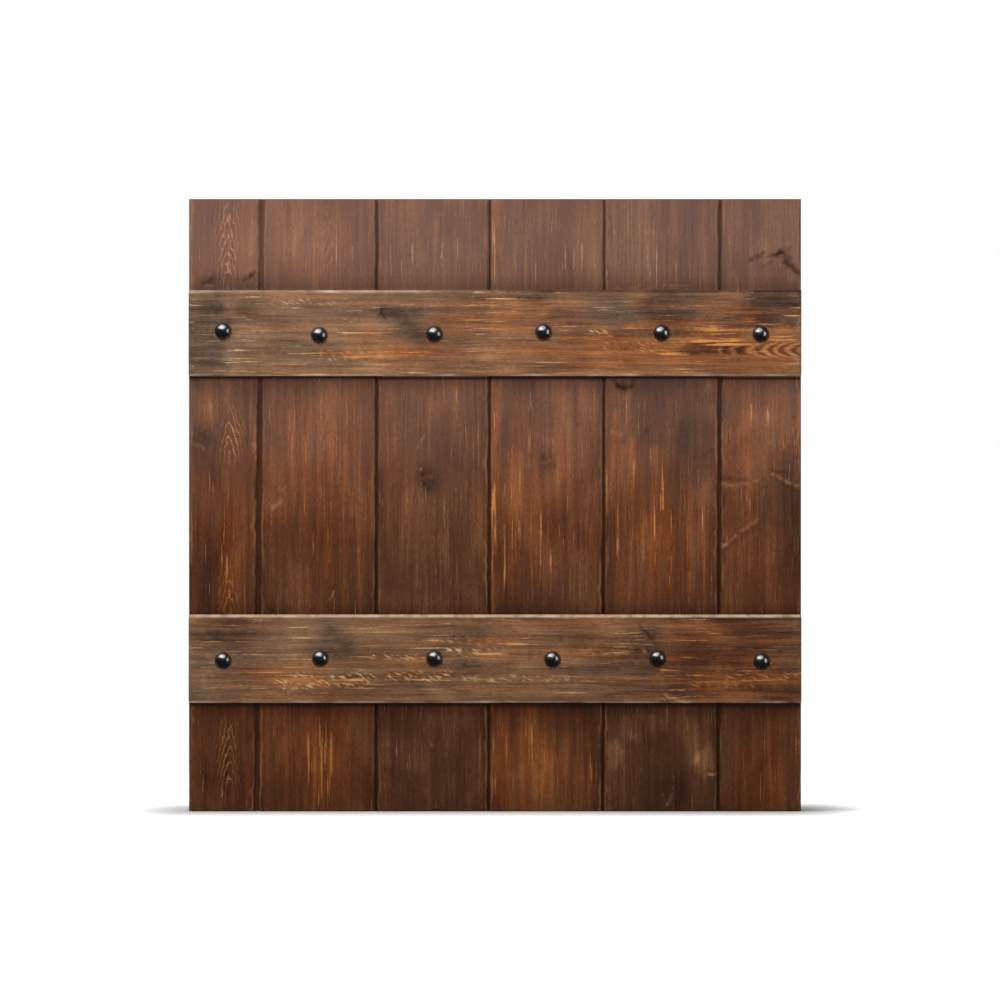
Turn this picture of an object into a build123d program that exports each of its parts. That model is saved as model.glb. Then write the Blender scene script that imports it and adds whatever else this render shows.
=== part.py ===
from build123d import *
import os

# A small square barn door: six upright tongue-and-groove boards held by two
# bolted ledges, hung on butt hinges over the front of a half-lapped timber frame.
# Millimetres. X runs to the right, Z runs up and the front faces -Y.
# The origin is the middle of the sill's underside.

# Leaf
leaf_width = 750.0
leaf_height = 750.0
board_thickness = 22.0
ledge_thickness = 22.0
upper_ledge_height = 105.0
lower_ledge_height = 108.0
upper_ledge_share = 0.7807
lower_ledge_share = 0.2492
board_ease = 1.5
ledge_ease = 3.0

# Seams between the boards: mid-height place from the left edge as shares of the
# leaf width, lean to the right from foot to top as shares of the leaf height,
# and the open gap at each one.
seam_shares = (0.1148, 0.3064, 0.4907, 0.6776, 0.8664)
seam_lean_shares = (0.0090, 0.0016, 0.0025, 0.0028, 0.0040)
seam_gaps = (4.0, 2.2, 2.0, 2.2, 3.0)
v_joint = 1.5
tongue_thickness = 6.0
tongue_engagement = 5.0
groove_clearance = 0.3
groove_end_clearance = 1.0

# Coach bolts, one per board on each ledge. The shares move a bolt off the middle
# of its board, of the board's width, and off the middle of its ledge, of its height.
head_radius = 10.3
head_height = 7.5
neck_side = 8.0
neck_length = 5.0
bolt_radius = 4.0
bolt_end = 1.5
bolt_clearance = 0.3
neck_clearance = 0.1
washer_radius = 12.0
washer_thickness = 2.0
nut_across_flats = 13.0
nut_height = 6.5
thread_clearance = 0.05
counterbore_radius = 13.0
counterbore_margin = 1.0
upper_across_shares = (-0.008, 0.003, 0.011, -0.03, -0.003, -0.007)
upper_rise_shares = (0.02, -0.027, -0.015, 0.008, -0.003, -0.015)
lower_across_shares = (0.013, 0.026, 0.017, 0.057, -0.029, 0.013)
lower_rise_shares = (-0.023, 0.0, 0.0, -0.011, 0.0, -0.034)

# Frame
leaf_overhang = 12.0
frame_face = 45.0
frame_depth = 70.0
lap_share = 0.5
fixing_radius = 4.0
fixing_head_radius = 8.0
fixing_head_depth = 10.0
fixing_pitch = 240.0
fixing_inset = 22.5
corner_screw_share = 0.22
corner_screw_reach_share = 0.86
pad_width = 20.0
pad_height = 32.0
pad_gap = 0.2

# Butt hinges at the ledges: one plate on the leaf's back, the other on the outer
# side of the right jamb.
hinge_gap = 3.0
hinge_height = 76.0
plate_thickness = 2.5
plate_width = 22.0
plate_corner = 2.0
barrel_radius = 4.5
barrel_clearance = 0.4
knuckle_count = 3
knuckle_gap = 0.2
pin_radius = 2.5
pin_clearance = 0.1
pin_head_radius = 4.2
pin_head_height = 2.0
hinge_screw_shares = (-0.36, 0.0, 0.36)
hinge_zigzag_share = 0.16
hinge_screw_place_share = 0.54
leaf_screw_bite_share = 0.18
jamb_screw_reach_share = 0.62

# Wood screws
screw_head_radius = 4.2
screw_radius = 2.1
screw_tip = 4.0
screw_tip_radius = 0.4
screw_clearance = 0.05
screw_end_clearance = 0.5

# Small repeated round pieces are many-sided to keep the model light: the shanks,
# screws and their holes, the washers and their pockets, the bolts' heads and the
# hinge barrels. The dome shares are the heights of a head's rings.
shank_sides = 8
washer_sides = 16
head_sides = 16
barrel_sides = 16
dome_height_shares = (0.0, 0.36, 0.66, 0.88, 0.985)

# How far every cutting body runs past the face it opens
overrun = 1.0

middle_share = 0.5

# Derived places
frame_width = leaf_width - 2 * leaf_overhang
frame_height = leaf_height - 2 * leaf_overhang
frame_side = frame_width / 2
frame_front = -frame_depth / 2
frame_back = frame_depth / 2
opening_side = frame_side - frame_face
leaf_left = -leaf_width / 2
leaf_right = leaf_width / 2
leaf_foot = -leaf_overhang
leaf_top = leaf_foot + leaf_height
board_back = frame_front - hinge_gap
board_front = board_back - board_thickness
ledge_front = board_front - ledge_thickness
upper_ledge_z = leaf_foot + upper_ledge_share * leaf_height
lower_ledge_z = leaf_foot + lower_ledge_share * leaf_height
counterbore_depth = washer_thickness + nut_height + bolt_end + counterbore_margin
washer_face = board_back - counterbore_depth
axis_x = frame_side + barrel_radius + barrel_clearance
axis_y = board_back + barrel_radius + barrel_clearance
screw_head_depth = screw_head_radius - screw_radius
leaf_screw_length = plate_thickness + board_thickness + leaf_screw_bite_share * ledge_thickness
jamb_screw_length = plate_thickness + jamb_screw_reach_share * frame_face
corner_screw_length = corner_screw_reach_share * frame_depth
lap_depth = lap_share * frame_depth
lap_plane = frame_front + lap_depth
board_count = len(seam_shares) + 1
ledge_rows = (
    (upper_ledge_z, upper_ledge_height, upper_across_shares, upper_rise_shares),
    (lower_ledge_z, lower_ledge_height, lower_across_shares, lower_rise_shares),
)
hinge_heights = {"upper": upper_ledge_z, "lower": lower_ledge_z}

front_normal = (0, -1, 0)
back_normal = (0, 1, 0)
across = (1, 0, 0)
along = (0, 1, 0)


def block(x0, x1, y0, y1, z0, z1):
    """A box between two opposite corners."""
    middle = ((x0 + x1) / 2, (y0 + y1) / 2, (z0 + z1) / 2)
    return Pos(*middle) * Box(x1 - x0, y1 - y0, z1 - z0)


def faceted(points, sides):
    """A many-sided solid about Z that passes through (radius, height) points, lowest first."""
    turns = [360 * step / sides for step in range(sides)]
    rings = [[Vector(r, 0, z).rotate(Axis.Z, turn) for turn in turns] for r, z in points]
    loops = [rings[0], rings[-1]]
    for low, high in zip(rings, rings[1:]):
        for step in range(sides):
            loops.append([low[step - 1], low[step], high[step], high[step - 1]])
    return Solid(Shell([Face(Wire.make_polygon(loop)) for loop in loops]))


def facing(x, y, z, normal, side):
    """The plane at a point that looks along a normal."""
    return Plane(origin=(x, y, z), x_dir=side, z_dir=normal)


def seam_x(number, height_share):
    """Where a seam is at a height, as a share of the leaf from foot to top."""
    lean = seam_lean_shares[number] * leaf_height
    return leaf_left + seam_shares[number] * leaf_width + (height_share - middle_share) * lean


def board_sides(number, height_share):
    """The left and right faces of a board at a height."""
    left = leaf_left
    right = leaf_right
    if number > 0:
        left = seam_x(number - 1, height_share) + seam_gaps[number - 1] / 2
    if number < board_count - 1:
        right = seam_x(number, height_share) - seam_gaps[number] / 2
    return left, right


def board_outline(number, height_share):
    """A board's section: groove on the left, tongue on the right, eased front edges."""
    left, right = board_sides(number, height_share)
    middle = (board_front + board_back) / 2
    tongue = tongue_thickness / 2
    groove = tongue + groove_clearance
    left_ease = v_joint if number > 0 else board_ease
    right_ease = v_joint if number < board_count - 1 else board_ease
    points = [(left + left_ease, board_front), (right - right_ease, board_front)]
    points.append((right, board_front + right_ease))
    if number < board_count - 1:
        reach = right + seam_gaps[number] + tongue_engagement
        points.append((right, middle - tongue))
        points.append((reach, middle - tongue))
        points.append((reach, middle + tongue))
        points.append((right, middle + tongue))
    points.append((right, board_back))
    points.append((left, board_back))
    if number > 0:
        floor = left + tongue_engagement + groove_end_clearance
        points.append((left, middle + groove))
        points.append((floor, middle + groove))
        points.append((floor, middle - groove))
        points.append((left, middle - groove))
    points.append((left, board_front + left_ease))
    return points


def make_board(number):
    """One board, lofted straight between its foot and its top, with eased ends."""
    sections = []
    for height_share, z in ((0, leaf_foot), (1, leaf_top)):
        outline = Polyline(*[(x, y, z) for x, y in board_outline(number, height_share)], close=True)
        sections.append(make_face(outline))
    board = loft(sections, ruled=True)
    ends = board.edges().group_by(Axis.Y)[0].filter_by(Axis.X)
    return chamfer(ends, board_ease)


def bolt_places(row):
    """The bolt centres on one ledge, as (board number, x, z)."""
    ledge_z, ledge_height, across_shares, rise_shares = row
    places = []
    for number in range(board_count):
        z = ledge_z + rise_shares[number] * ledge_height
        left, right = board_sides(number, (z - leaf_foot) / leaf_height)
        x = (left + right) / 2 + across_shares[number] * (right - left)
        places.append((number, x, z))
    return places


def bolt_passage(x, z):
    """What a bolt takes out of a board: the shank hole and the sunk nut's pocket."""
    hole = bolt_radius + bolt_clearance
    seat = facing(x, board_back, z, front_normal, across)
    shank = faceted([(hole, -overrun), (hole, board_thickness + overrun)], shank_sides)
    sink = faceted([(counterbore_radius, -overrun), (counterbore_radius, counterbore_depth)], washer_sides)
    return seat * (shank + sink)


def neck_passage(x, z):
    """What a bolt takes out of a ledge: the shank hole and the square neck's pocket."""
    side = neck_side + 2 * neck_clearance
    deep = neck_length + neck_clearance
    hole = bolt_radius + bolt_clearance
    seat = facing(x, ledge_front, z, back_normal, across)
    shank = faceted([(hole, -overrun), (hole, ledge_thickness + overrun)], shank_sides)
    pocket = Pos(0, 0, (deep - overrun) / 2) * Box(side, side, deep + overrun)
    return seat * (shank + pocket)


def make_ledge(row):
    """A full-width ledge with eased front edges."""
    ledge_z, ledge_height = row[0], row[1]
    foot = ledge_z - ledge_height / 2
    ledge = block(leaf_left, leaf_right, ledge_front, board_front, foot, foot + ledge_height)
    return chamfer(ledge.faces().sort_by(Axis.Y)[0].edges(), ledge_ease)


def make_bolt():
    """A round-headed bolt with a square neck; its head rises along +Z from zero."""
    length = washer_face - ledge_front + washer_thickness + nut_height + bolt_end
    ball = (head_radius**2 + head_height**2) / (2 * head_height)
    levels = [share * head_height for share in dome_height_shares]
    rings = [((ball**2 - (z + ball - head_height) ** 2) ** 0.5, z) for z in levels]
    dome = faceted(rings, head_sides)
    shank = faceted([(bolt_radius, -length), (bolt_radius, 0)], shank_sides)
    neck = Pos(0, 0, -neck_length / 2) * Box(neck_side, neck_side, neck_length)
    return dome + neck + shank


def make_washer():
    """A flat washer standing on zero."""
    hole = bolt_radius + bolt_clearance
    disc = faceted([(washer_radius, 0), (washer_radius, washer_thickness)], washer_sides)
    return disc - faceted([(hole, -overrun), (hole, washer_thickness + overrun)], shank_sides)


def make_nut():
    """A hexagon nut standing on zero."""
    bore = bolt_radius + thread_clearance
    hexagon = extrude(RegularPolygon(nut_across_flats / 2, 6, major_radius=False), nut_height)
    return hexagon - faceted([(bore, -overrun), (bore, nut_height + overrun)], shank_sides)


def make_screw(length):
    """A countersunk wood screw, its head flush with zero and its tip below."""
    points = [(screw_tip_radius, -length), (screw_radius, screw_tip - length),
              (screw_radius, -screw_head_depth), (screw_head_radius, 0)]
    return faceted(points, shank_sides)


def screw_passage(length):
    """What a screw takes out: its countersink and a pilot hole with a little room."""
    pilot = screw_radius + screw_clearance
    points = [(pilot, -length - screw_end_clearance), (pilot, screw_clearance - screw_head_depth),
              (screw_head_radius, 0), (screw_head_radius, overrun)]
    return faceted(points, shank_sides)


def group(solids):
    """Separate solids kept under one name."""
    return Compound([solid for shape in solids for solid in shape.solids()])


def plate_screw_marks():
    """Hinge screw centres on a plate, as (distance from the barrel's axis, height)."""
    marks = []
    for turn, share in enumerate(hinge_screw_shares):
        side = 1 if turn % 2 else -1
        reach = barrel_radius + (hinge_screw_place_share + side * hinge_zigzag_share) * plate_width
        marks.append((reach, share * hinge_height))
    return marks


def knuckle_spans(first):
    """Height spans of every second knuckle of a hinge, from the given one."""
    pitch = hinge_height / knuckle_count
    spans = []
    for number in range(first, knuckle_count, 2):
        low = number * pitch - hinge_height / 2
        high = low + pitch
        low += knuckle_gap / 2 if number > 0 else 0
        high -= knuckle_gap / 2 if number < knuckle_count - 1 else 0
        spans.append((low, high))
    return spans


def make_hinge_plate(first, screw_length):
    """A hinge half in its own frame: barrel axis on Z, plate running along +X.

    The plate's mounting face is tangent to the barrel, a little clearance out, at -Y.
    """
    face = -barrel_radius - barrel_clearance
    inner = face + plate_thickness
    start = barrel_radius + barrel_clearance
    half = hinge_height / 2
    plate = block(start, start + plate_width, face, inner, -half, half)
    corners = plate.edges().filter_by(Axis.Y).group_by(Axis.X)[-1]
    plate = chamfer(corners, plate_corner)
    for low, high in knuckle_spans(first):
        plate += block(0, start + plate_corner, face, inner, low, high)
        plate += faceted([(barrel_radius, low), (barrel_radius, high)], barrel_sides)
    bore = pin_radius + pin_clearance
    cuts = [faceted([(bore, -half - overrun), (bore, half + overrun)], barrel_sides)]
    for reach, height in plate_screw_marks():
        cuts.append(facing(reach, inner, height, back_normal, across) * screw_passage(screw_length))
    return plate - cuts


def leaf_hinge_place(z):
    """The leaf plate's frame: along the boards' backs towards the left."""
    return Plane(origin=(axis_x, axis_y, z), x_dir=(-1, 0, 0), z_dir=(0, 0, -1))


def frame_hinge_place(z):
    """The frame plate's frame: along the right jamb's outer side towards the back."""
    return Plane(origin=(axis_x, axis_y, z), x_dir=along, z_dir=(0, 0, -1))


def hinge_screw_planes(place):
    """The planes that a plate's screw heads lie on."""
    inner = plate_thickness - barrel_radius - barrel_clearance
    planes = []
    for reach, height in plate_screw_marks():
        planes.append(Location(place) * Location(facing(reach, inner, height, back_normal, across)))
    return planes


def make_pin():
    """A hinge pin with a button head against each end of the barrel."""
    half = hinge_height / 2
    end = half + pin_head_height
    pin = faceted([(pin_radius, -half), (pin_radius, half)], barrel_sides)
    for low, high in ((-end, -half), (half, end)):
        pin += faceted([(pin_head_radius, low), (pin_head_radius, high)], barrel_sides)
    return pin


def fixing_passage(x, z, normal):
    """A wall fixing's hole through a jamb, with its head sunk in the inner side."""
    seat = facing(x, frame_back - fixing_inset, z, normal, along)
    hole = Pos(0, 0, frame_face / 2) * Cylinder(fixing_radius, frame_face + 2 * overrun)
    sink = Cylinder(fixing_head_radius, fixing_head_depth + overrun)
    return seat * (hole + Pos(0, 0, (fixing_head_depth - overrun) / 2) * sink)


def corner_screw_planes():
    """Where the corner screws' heads lie on the frame's back, two per corner."""
    planes = []
    shift = corner_screw_share * frame_face
    for x_side in (-1, 1):
        for z_middle in (frame_face / 2, frame_height - frame_face / 2):
            for side in (-1, 1):
                x = x_side * (frame_side - frame_face / 2 + side * shift)
                z = z_middle + side * shift
                planes.append(facing(x, frame_back, z, back_normal, across))
    return planes


def make_jamb(side):
    """A jamb on the left (-1) or right (1): its laps keep the front half."""
    inner = side * opening_side
    outer = side * frame_side
    low, high = min(inner, outer), max(inner, outer)
    jamb = block(low, high, frame_front, frame_back, 0, frame_height)
    for z0, z1 in ((-overrun, frame_face), (frame_height - frame_face, frame_height + overrun)):
        jamb -= block(low - overrun, high + overrun, lap_plane, frame_back + overrun, z0, z1)
    cuts = []
    for end in (-1, 1):
        z = frame_height / 2 + end * fixing_pitch / 2
        cuts.append(fixing_passage(inner, z, (side, 0, 0)))
    for plane in corner_screw_planes():
        if plane.origin.X * side > 0:
            cuts.append(plane * screw_passage(corner_screw_length))
    return jamb - cuts


def make_rail(foot):
    """The head or the sill: its laps keep the back half."""
    rail = block(-frame_side, frame_side, frame_front, frame_back, foot, foot + frame_face)
    for x0, x1 in ((-frame_side - overrun, -opening_side), (opening_side, frame_side + overrun)):
        rail -= block(x0, x1, frame_front - overrun, lap_plane, foot - overrun,
                      foot + frame_face + overrun)
    cuts = []
    for plane in corner_screw_planes():
        if foot < plane.origin.Z < foot + frame_face:
            cuts.append(plane * screw_passage(corner_screw_length))
    return rail - cuts


def make_pad(z):
    """A closing pad on the left jamb's front."""
    x = -(opening_side + frame_side) / 2
    thickness = hinge_gap - pad_gap
    return block(x - pad_width / 2, x + pad_width / 2, frame_front - thickness, frame_front,
                 z - pad_height / 2, z + pad_height / 2)


parts = {}

bolt = make_bolt()
washer = make_washer()
nut = make_nut()
bolts, washers, nuts = [], [], []
board_cuts = [[] for number in range(board_count)]
ledge_cuts = [[] for row in ledge_rows]
for ledge_number, row in enumerate(ledge_rows):
    for number, x, z in bolt_places(row):
        board_cuts[number].append(bolt_passage(x, z))
        ledge_cuts[ledge_number].append(neck_passage(x, z))
        bolts.append(facing(x, ledge_front, z, front_normal, across) * bolt)
        washers.append(facing(x, washer_face, z, back_normal, across) * washer)
        nuts.append(facing(x, washer_face + washer_thickness, z, back_normal, across) * nut)
parts["coach_bolts"] = group(bolts)
parts["bolt_washers"] = group(washers)
parts["bolt_nuts"] = group(nuts)

leaf_screws, jamb_screws, jamb_cuts = [], [], []
for ledge_number, (name, z) in enumerate(hinge_heights.items()):
    leaf_place = leaf_hinge_place(z)
    frame_place = frame_hinge_place(z)
    parts[f"{name}_hinge_leaf_plate"] = leaf_place * make_hinge_plate(1, leaf_screw_length)
    parts[f"{name}_hinge_frame_plate"] = frame_place * make_hinge_plate(0, jamb_screw_length)
    parts[f"{name}_hinge_pin"] = Pos(axis_x, axis_y, z) * make_pin()
    for plane in hinge_screw_planes(leaf_place):
        hole = plane * screw_passage(leaf_screw_length)
        board_cuts[-1].append(hole)
        ledge_cuts[ledge_number].append(hole)
        leaf_screws.append(plane * make_screw(leaf_screw_length))
    for plane in hinge_screw_planes(frame_place):
        jamb_cuts.append(plane * screw_passage(jamb_screw_length))
        jamb_screws.append(plane * make_screw(jamb_screw_length))
parts["leaf_hinge_screws"] = group(leaf_screws)
parts["frame_hinge_screws"] = group(jamb_screws)

for number, cuts in enumerate(board_cuts):
    parts[f"board_{number + 1}"] = make_board(number) - cuts
for name, row, cuts in zip(("upper_ledge", "lower_ledge"), ledge_rows, ledge_cuts):
    parts[name] = make_ledge(row) - cuts

parts["left_jamb"] = make_jamb(-1)
parts["right_jamb"] = make_jamb(1) - jamb_cuts
parts["head_rail"] = make_rail(frame_height - frame_face)
parts["sill_rail"] = make_rail(0)
corner_screws = [plane * make_screw(corner_screw_length) for plane in corner_screw_planes()]
parts["frame_corner_screws"] = group(corner_screws)
parts["closing_pads"] = group([make_pad(z) for z in hinge_heights.values()])

os.makedirs("parts", exist_ok=True)
for name, shape in parts.items():
    export_step(shape, f"parts/{name}.step")
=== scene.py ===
"""The looks of a small square barn door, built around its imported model.

Six stained boards with two bolted ledges hang on butt hinges over a timber frame.
Metres. X runs to the right, Z runs up and the front faces -Y.
"""

import math

import bmesh
import bpy
import numpy as np
from bpy.props import FloatProperty, FloatVectorProperty, PointerProperty
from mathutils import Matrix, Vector


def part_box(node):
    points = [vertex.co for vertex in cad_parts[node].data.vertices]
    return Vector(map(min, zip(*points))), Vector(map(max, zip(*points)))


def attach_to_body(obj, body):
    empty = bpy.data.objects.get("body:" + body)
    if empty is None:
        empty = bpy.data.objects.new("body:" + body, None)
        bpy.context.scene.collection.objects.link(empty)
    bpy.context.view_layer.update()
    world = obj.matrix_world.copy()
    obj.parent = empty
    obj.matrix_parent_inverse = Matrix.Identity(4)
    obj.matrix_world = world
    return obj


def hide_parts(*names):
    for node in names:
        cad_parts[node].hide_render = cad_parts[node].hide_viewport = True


bl_info = {
    "name": "Barn Door",
    "version": (1, 0, 0),
    "blender": (4, 5, 0),
    "location": "3D View > Sidebar > Barn Door",
    "description": "Dresses a small ledged barn door with its frame",
    "category": "Object",
}

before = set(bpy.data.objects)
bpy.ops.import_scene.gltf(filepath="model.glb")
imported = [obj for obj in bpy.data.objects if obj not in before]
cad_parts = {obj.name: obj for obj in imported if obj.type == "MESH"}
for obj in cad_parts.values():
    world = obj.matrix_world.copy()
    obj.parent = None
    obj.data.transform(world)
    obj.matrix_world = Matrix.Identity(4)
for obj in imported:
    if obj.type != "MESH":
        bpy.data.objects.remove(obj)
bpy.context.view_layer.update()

MM = 0.001

# The leaf, read from the frame
BOARD_NAMES = [f"board_{number}" for number in range(1, 7)]
LEDGE_NAMES = ("upper_ledge", "lower_ledge")
LEAF_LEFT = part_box(BOARD_NAMES[0])[0].x
LEAF_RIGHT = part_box(BOARD_NAMES[-1])[1].x
LEAF_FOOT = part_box(BOARD_NAMES[0])[0].z
LEAF_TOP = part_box(BOARD_NAMES[0])[1].z
BOARD_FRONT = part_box(BOARD_NAMES[0])[0].y
BOARD_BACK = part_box(BOARD_NAMES[0])[1].y
LEDGE_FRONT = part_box(LEDGE_NAMES[0])[0].y
LEAF_WIDTH = LEAF_RIGHT - LEAF_LEFT
LEAF_HEIGHT = LEAF_TOP - LEAF_FOOT

# Seams between the boards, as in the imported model: mid-height places as shares of the
# leaf's width, leans as shares of its height, and gaps
SEAM_SHARES = (0.1148, 0.3064, 0.4907, 0.6776, 0.8664)
SEAM_LEAN_SHARES = (0.0090, 0.0016, 0.0025, 0.0028, 0.0040)
SEAM_GAPS = (4.0 * MM, 2.2 * MM, 2.0 * MM, 2.2 * MM, 3.0 * MM)
TONGUE_HALF = 3.0 * MM
TONGUE_ENGAGEMENT = 5.0 * MM
GROOVE_CLEARANCE = 0.3 * MM
GROOVE_END_CLEARANCE = 1.0 * MM

# Coach bolts and what holds them at the back
HEAD_RADIUS = 10.3 * MM
HEAD_HEIGHT = 7.5 * MM
BOLT_RADIUS = 4.0 * MM
POCKET_DEPTH = 11.0 * MM
BOLT_PITCH = 1.25 * MM
WASHER_THICK = 2.0 * MM
NUT_TURN = 90

# The picture of the leaf: its left and top edges and its width, in pixels of a
# 1000 pixel square. Marks in the wood are placed in these pixels.
PICTURE_SIDE = 1000.0
PICTURE_LEFT = 189.0
PICTURE_TOP = 199.0
PICTURE_WIDTH = 612.0
PIXEL = LEAF_WIDTH / PICTURE_WIDTH


def picture_place(x, z):
    """Where a place on the leaf is in the picture, as columns and rows of pixels."""
    return PICTURE_LEFT + (x - LEAF_LEFT) / PIXEL, PICTURE_TOP + (LEAF_TOP - z) / PIXEL


def stain(red, green, blue):
    """A colour given in display values from 0 to 255, as linear red, green and blue."""
    shares = np.array([red, green, blue]) / 255
    linear = np.where(shares <= 0.04045, shares / 12.92, ((shares + 0.055) / 1.055) ** 2.4)
    return tuple(float(value) for value in linear)


# Number fields


def hash_share(i, j, seed):
    """A fixed pseudo-random share for each lattice point: the fraction of a large sine."""
    wave = np.sin(i * 127.1 + j * 311.7 + seed * 74.7) * 43758.5453
    return wave - np.floor(wave)


def ripple(x, y, seed=0.0):
    """Smooth noise from -1 to 1: lattice shares joined by cubic steps in both directions."""
    i, j = np.floor(x), np.floor(y)
    fx, fy = x - i, y - j
    fx, fy = fx * fx * (3 - 2 * fx), fy * fy * (3 - 2 * fy)
    low = hash_share(i, j, seed) * (1 - fx) + hash_share(i + 1, j, seed) * fx
    high = hash_share(i, j + 1, seed) * (1 - fx) + hash_share(i + 1, j + 1, seed) * fx
    return 2 * (low * (1 - fy) + high * fy) - 1


def step_up(low, high, value):
    """A smooth rise from 0 at low to 1 at high."""
    t = np.clip((value - low) / (high - low), 0, 1)
    return t * t * (3 - 2 * t)


def bell(distance):
    """A soft hump: 1 at zero distance, falling as exp(-distance squared)."""
    return np.exp(-np.clip(distance * distance, 0, 60))


def filled(stops, step):
    """Places from the first stop to the last that keep every stop, at most a step apart."""
    runs = [np.linspace(a, b, max(1, math.ceil((b - a) / step)), endpoint=False)
            for a, b in zip(stops, stops[1:])]
    return np.concatenate(runs + [np.array(stops[-1:])])


# Meshes


def carried(places, looped=False):
    """Faces of a closed profile carried along a path.

    Places is an array of rows along the path, points round the profile and three
    coordinates. Quads join neighbouring rows. One flat face closes each end, unless the
    path is looped and its last row joins the first.
    """
    rows, points = places.shape[:2]
    index = np.arange(rows * points).reshape(rows, points)
    ends = [] if looped else [index[0, ::-1], index[-1]]
    if looped:
        index = np.concatenate([index, index[:1]])
    after = np.roll(index, -1, axis=1)
    quads = np.stack([index[:-1], after[:-1], after[1:], index[1:]], axis=-1).reshape(-1, 4)
    return quads, ends


def fill_mesh(name, places, quads, caps=()):
    """A mesh from an array of places, quads and longer end faces."""
    mesh = bpy.data.meshes.new(name)
    corners = np.concatenate([quads.ravel(), *[np.asarray(cap) for cap in caps]])
    sizes = np.concatenate([np.full(len(quads), 4), [len(cap) for cap in caps]]).astype(int)
    starts = np.concatenate([[0], np.cumsum(sizes)[:-1]])
    mesh.vertices.add(len(places))
    mesh.vertices.foreach_set("co", np.asarray(places, np.float32).ravel())
    mesh.loops.add(len(corners))
    mesh.loops.foreach_set("vertex_index", corners.astype(np.int32))
    mesh.polygons.add(len(sizes))
    mesh.polygons.foreach_set("loop_start", starts.astype(np.int32))
    mesh.update(calc_edges=True)
    return mesh


def add_field(mesh, name, kind, values):
    """A named value at each vertex, for the finishes to read."""
    key = {"FLOAT": "value", "FLOAT_VECTOR": "vector", "FLOAT_COLOR": "color"}[kind]
    field = mesh.attributes.new(name, kind, "POINT")
    field.data.foreach_set(key, np.asarray(values, np.float32).ravel())


def add_piece(mesh, body, nodes, finishes, sharp=40.0):
    """An object of a finished mesh that rides on a body and stands for its nodes."""
    mesh.shade_smooth()
    mesh.set_sharp_from_angle(angle=math.radians(sharp))
    for finish in finishes:
        mesh.materials.append(finish)
    piece = bpy.data.objects.new(mesh.name, mesh)
    bpy.context.scene.collection.objects.link(piece)
    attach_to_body(piece, body)
    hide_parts(*nodes)
    return piece


def parts_of(node, axes, gap):
    """The points of a node's separate solids, split wherever an axis has a wide gap."""
    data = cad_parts[node].data
    points = np.zeros(len(data.vertices) * 3)
    data.vertices.foreach_get("co", points)
    groups = [points.reshape(-1, 3)]
    for axis in axes:
        split = []
        for group in groups:
            group = group[np.argsort(group[:, axis], kind="stable")]
            breaks = np.nonzero(np.diff(group[:, axis]) > gap)[0] + 1
            split.extend(np.split(group, breaks))
        groups = split
    return groups


def middles(groups):
    """The middle of each group's box."""
    return [(group.min(0) + group.max(0)) / 2 for group in groups]


# Finishes


def node(tree, kind, inputs=None, **settings):
    """A shader node with its settings, and its inputs set or linked."""
    made = tree.nodes.new("ShaderNode" + kind)
    for name, value in settings.items():
        setattr(made, name, value)
    for key, value in (inputs or {}).items():
        if isinstance(value, bpy.types.NodeSocket):
            tree.links.new(value, made.inputs[key])
        else:
            made.inputs[key].default_value = value
    return made


def object_place(tree):
    """Places on a piece, in its own coordinates."""
    return node(tree, "TexCoord").outputs["Object"]


def calc(tree, operation, first, second=0.0, third=0.0, clamp=False):
    """The result of a sum on numbers or sockets."""
    inputs = {0: first, 1: second, 2: third}
    return node(tree, "Math", inputs, operation=operation, use_clamp=clamp).outputs[0]


def total(tree, terms):
    """The sum of (socket, factor) pairs."""
    result = 0.0
    for socket, factor in terms:
        result = calc(tree, "MULTIPLY_ADD", socket, factor, result)
    return result


def mixed(tree, factor, first, second, mode="MIX"):
    """A mix of two colours."""
    made = node(tree, "Mix", {0: factor, 6: first, 7: second}, data_type="RGBA", blend_type=mode)
    return made.outputs[2]


def stretched(tree, vector, factors):
    """A vector with each part multiplied."""
    return node(tree, "VectorMath", {0: vector, 1: factors}, operation="MULTIPLY").outputs[0]


def noise(tree, vector, factors, detail=3.0, roughness=0.5, distortion=0.0):
    """Noise on a stretched vector, from about 0 to 1."""
    inputs = {"Vector": stretched(tree, vector, factors), "Scale": 1.0, "Detail": detail,
              "Roughness": roughness, "Distortion": distortion}
    return node(tree, "TexNoise", inputs).outputs[0]


def ranged(tree, value, low, high, to_low=0.0, to_high=1.0):
    """A value carried smoothly from one range to another, and held at its ends."""
    inputs = {0: value, 1: low, 2: high, 3: to_low, 4: to_high}
    return node(tree, "MapRange", inputs, interpolation_type="SMOOTHSTEP").outputs[0]


def ramp(tree, factor, stops, interpolation="LINEAR"):
    """Colours along a factor, from (place, colour) stops."""
    made = node(tree, "ValToRGB", {0: factor})
    made.color_ramp.interpolation = interpolation
    points = made.color_ramp.elements
    while len(points) < len(stops):
        points.new(0.5)
    for point, (place, colour) in zip(points, stops):
        point.position = place
        point.color = opaque(colour)
    return made.outputs[0]


def field(tree, name):
    """The node that reads a named vertex value."""
    return node(tree, "Attribute", attribute_name=name)


def thrice(value):
    """One value three times: an even stretch or a neutral colour."""
    return (value, value, value)


def opaque(colour):
    """A colour with full cover, as the sockets take it."""
    return (*colour, 1.0)


def evenly(*colours):
    """Stops of a colour ramp at even distances from 0 to 1."""
    return list(zip(np.linspace(0, 1, len(colours)).tolist(), colours))


def greys(stops):
    """Stops of a grey ramp, from (place, value) pairs."""
    return [(place, thrice(value)) for place, value in stops]


def new_finish(name):
    """An empty finish and its principled shader."""
    made = bpy.data.materials.new(name)
    made.use_nodes = True
    tree = made.node_tree
    tree.nodes.clear()
    shader = node(tree, "BsdfPrincipled")
    node(tree, "OutputMaterial", {"Surface": shader.outputs[0]})
    return made, tree, shader


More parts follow.
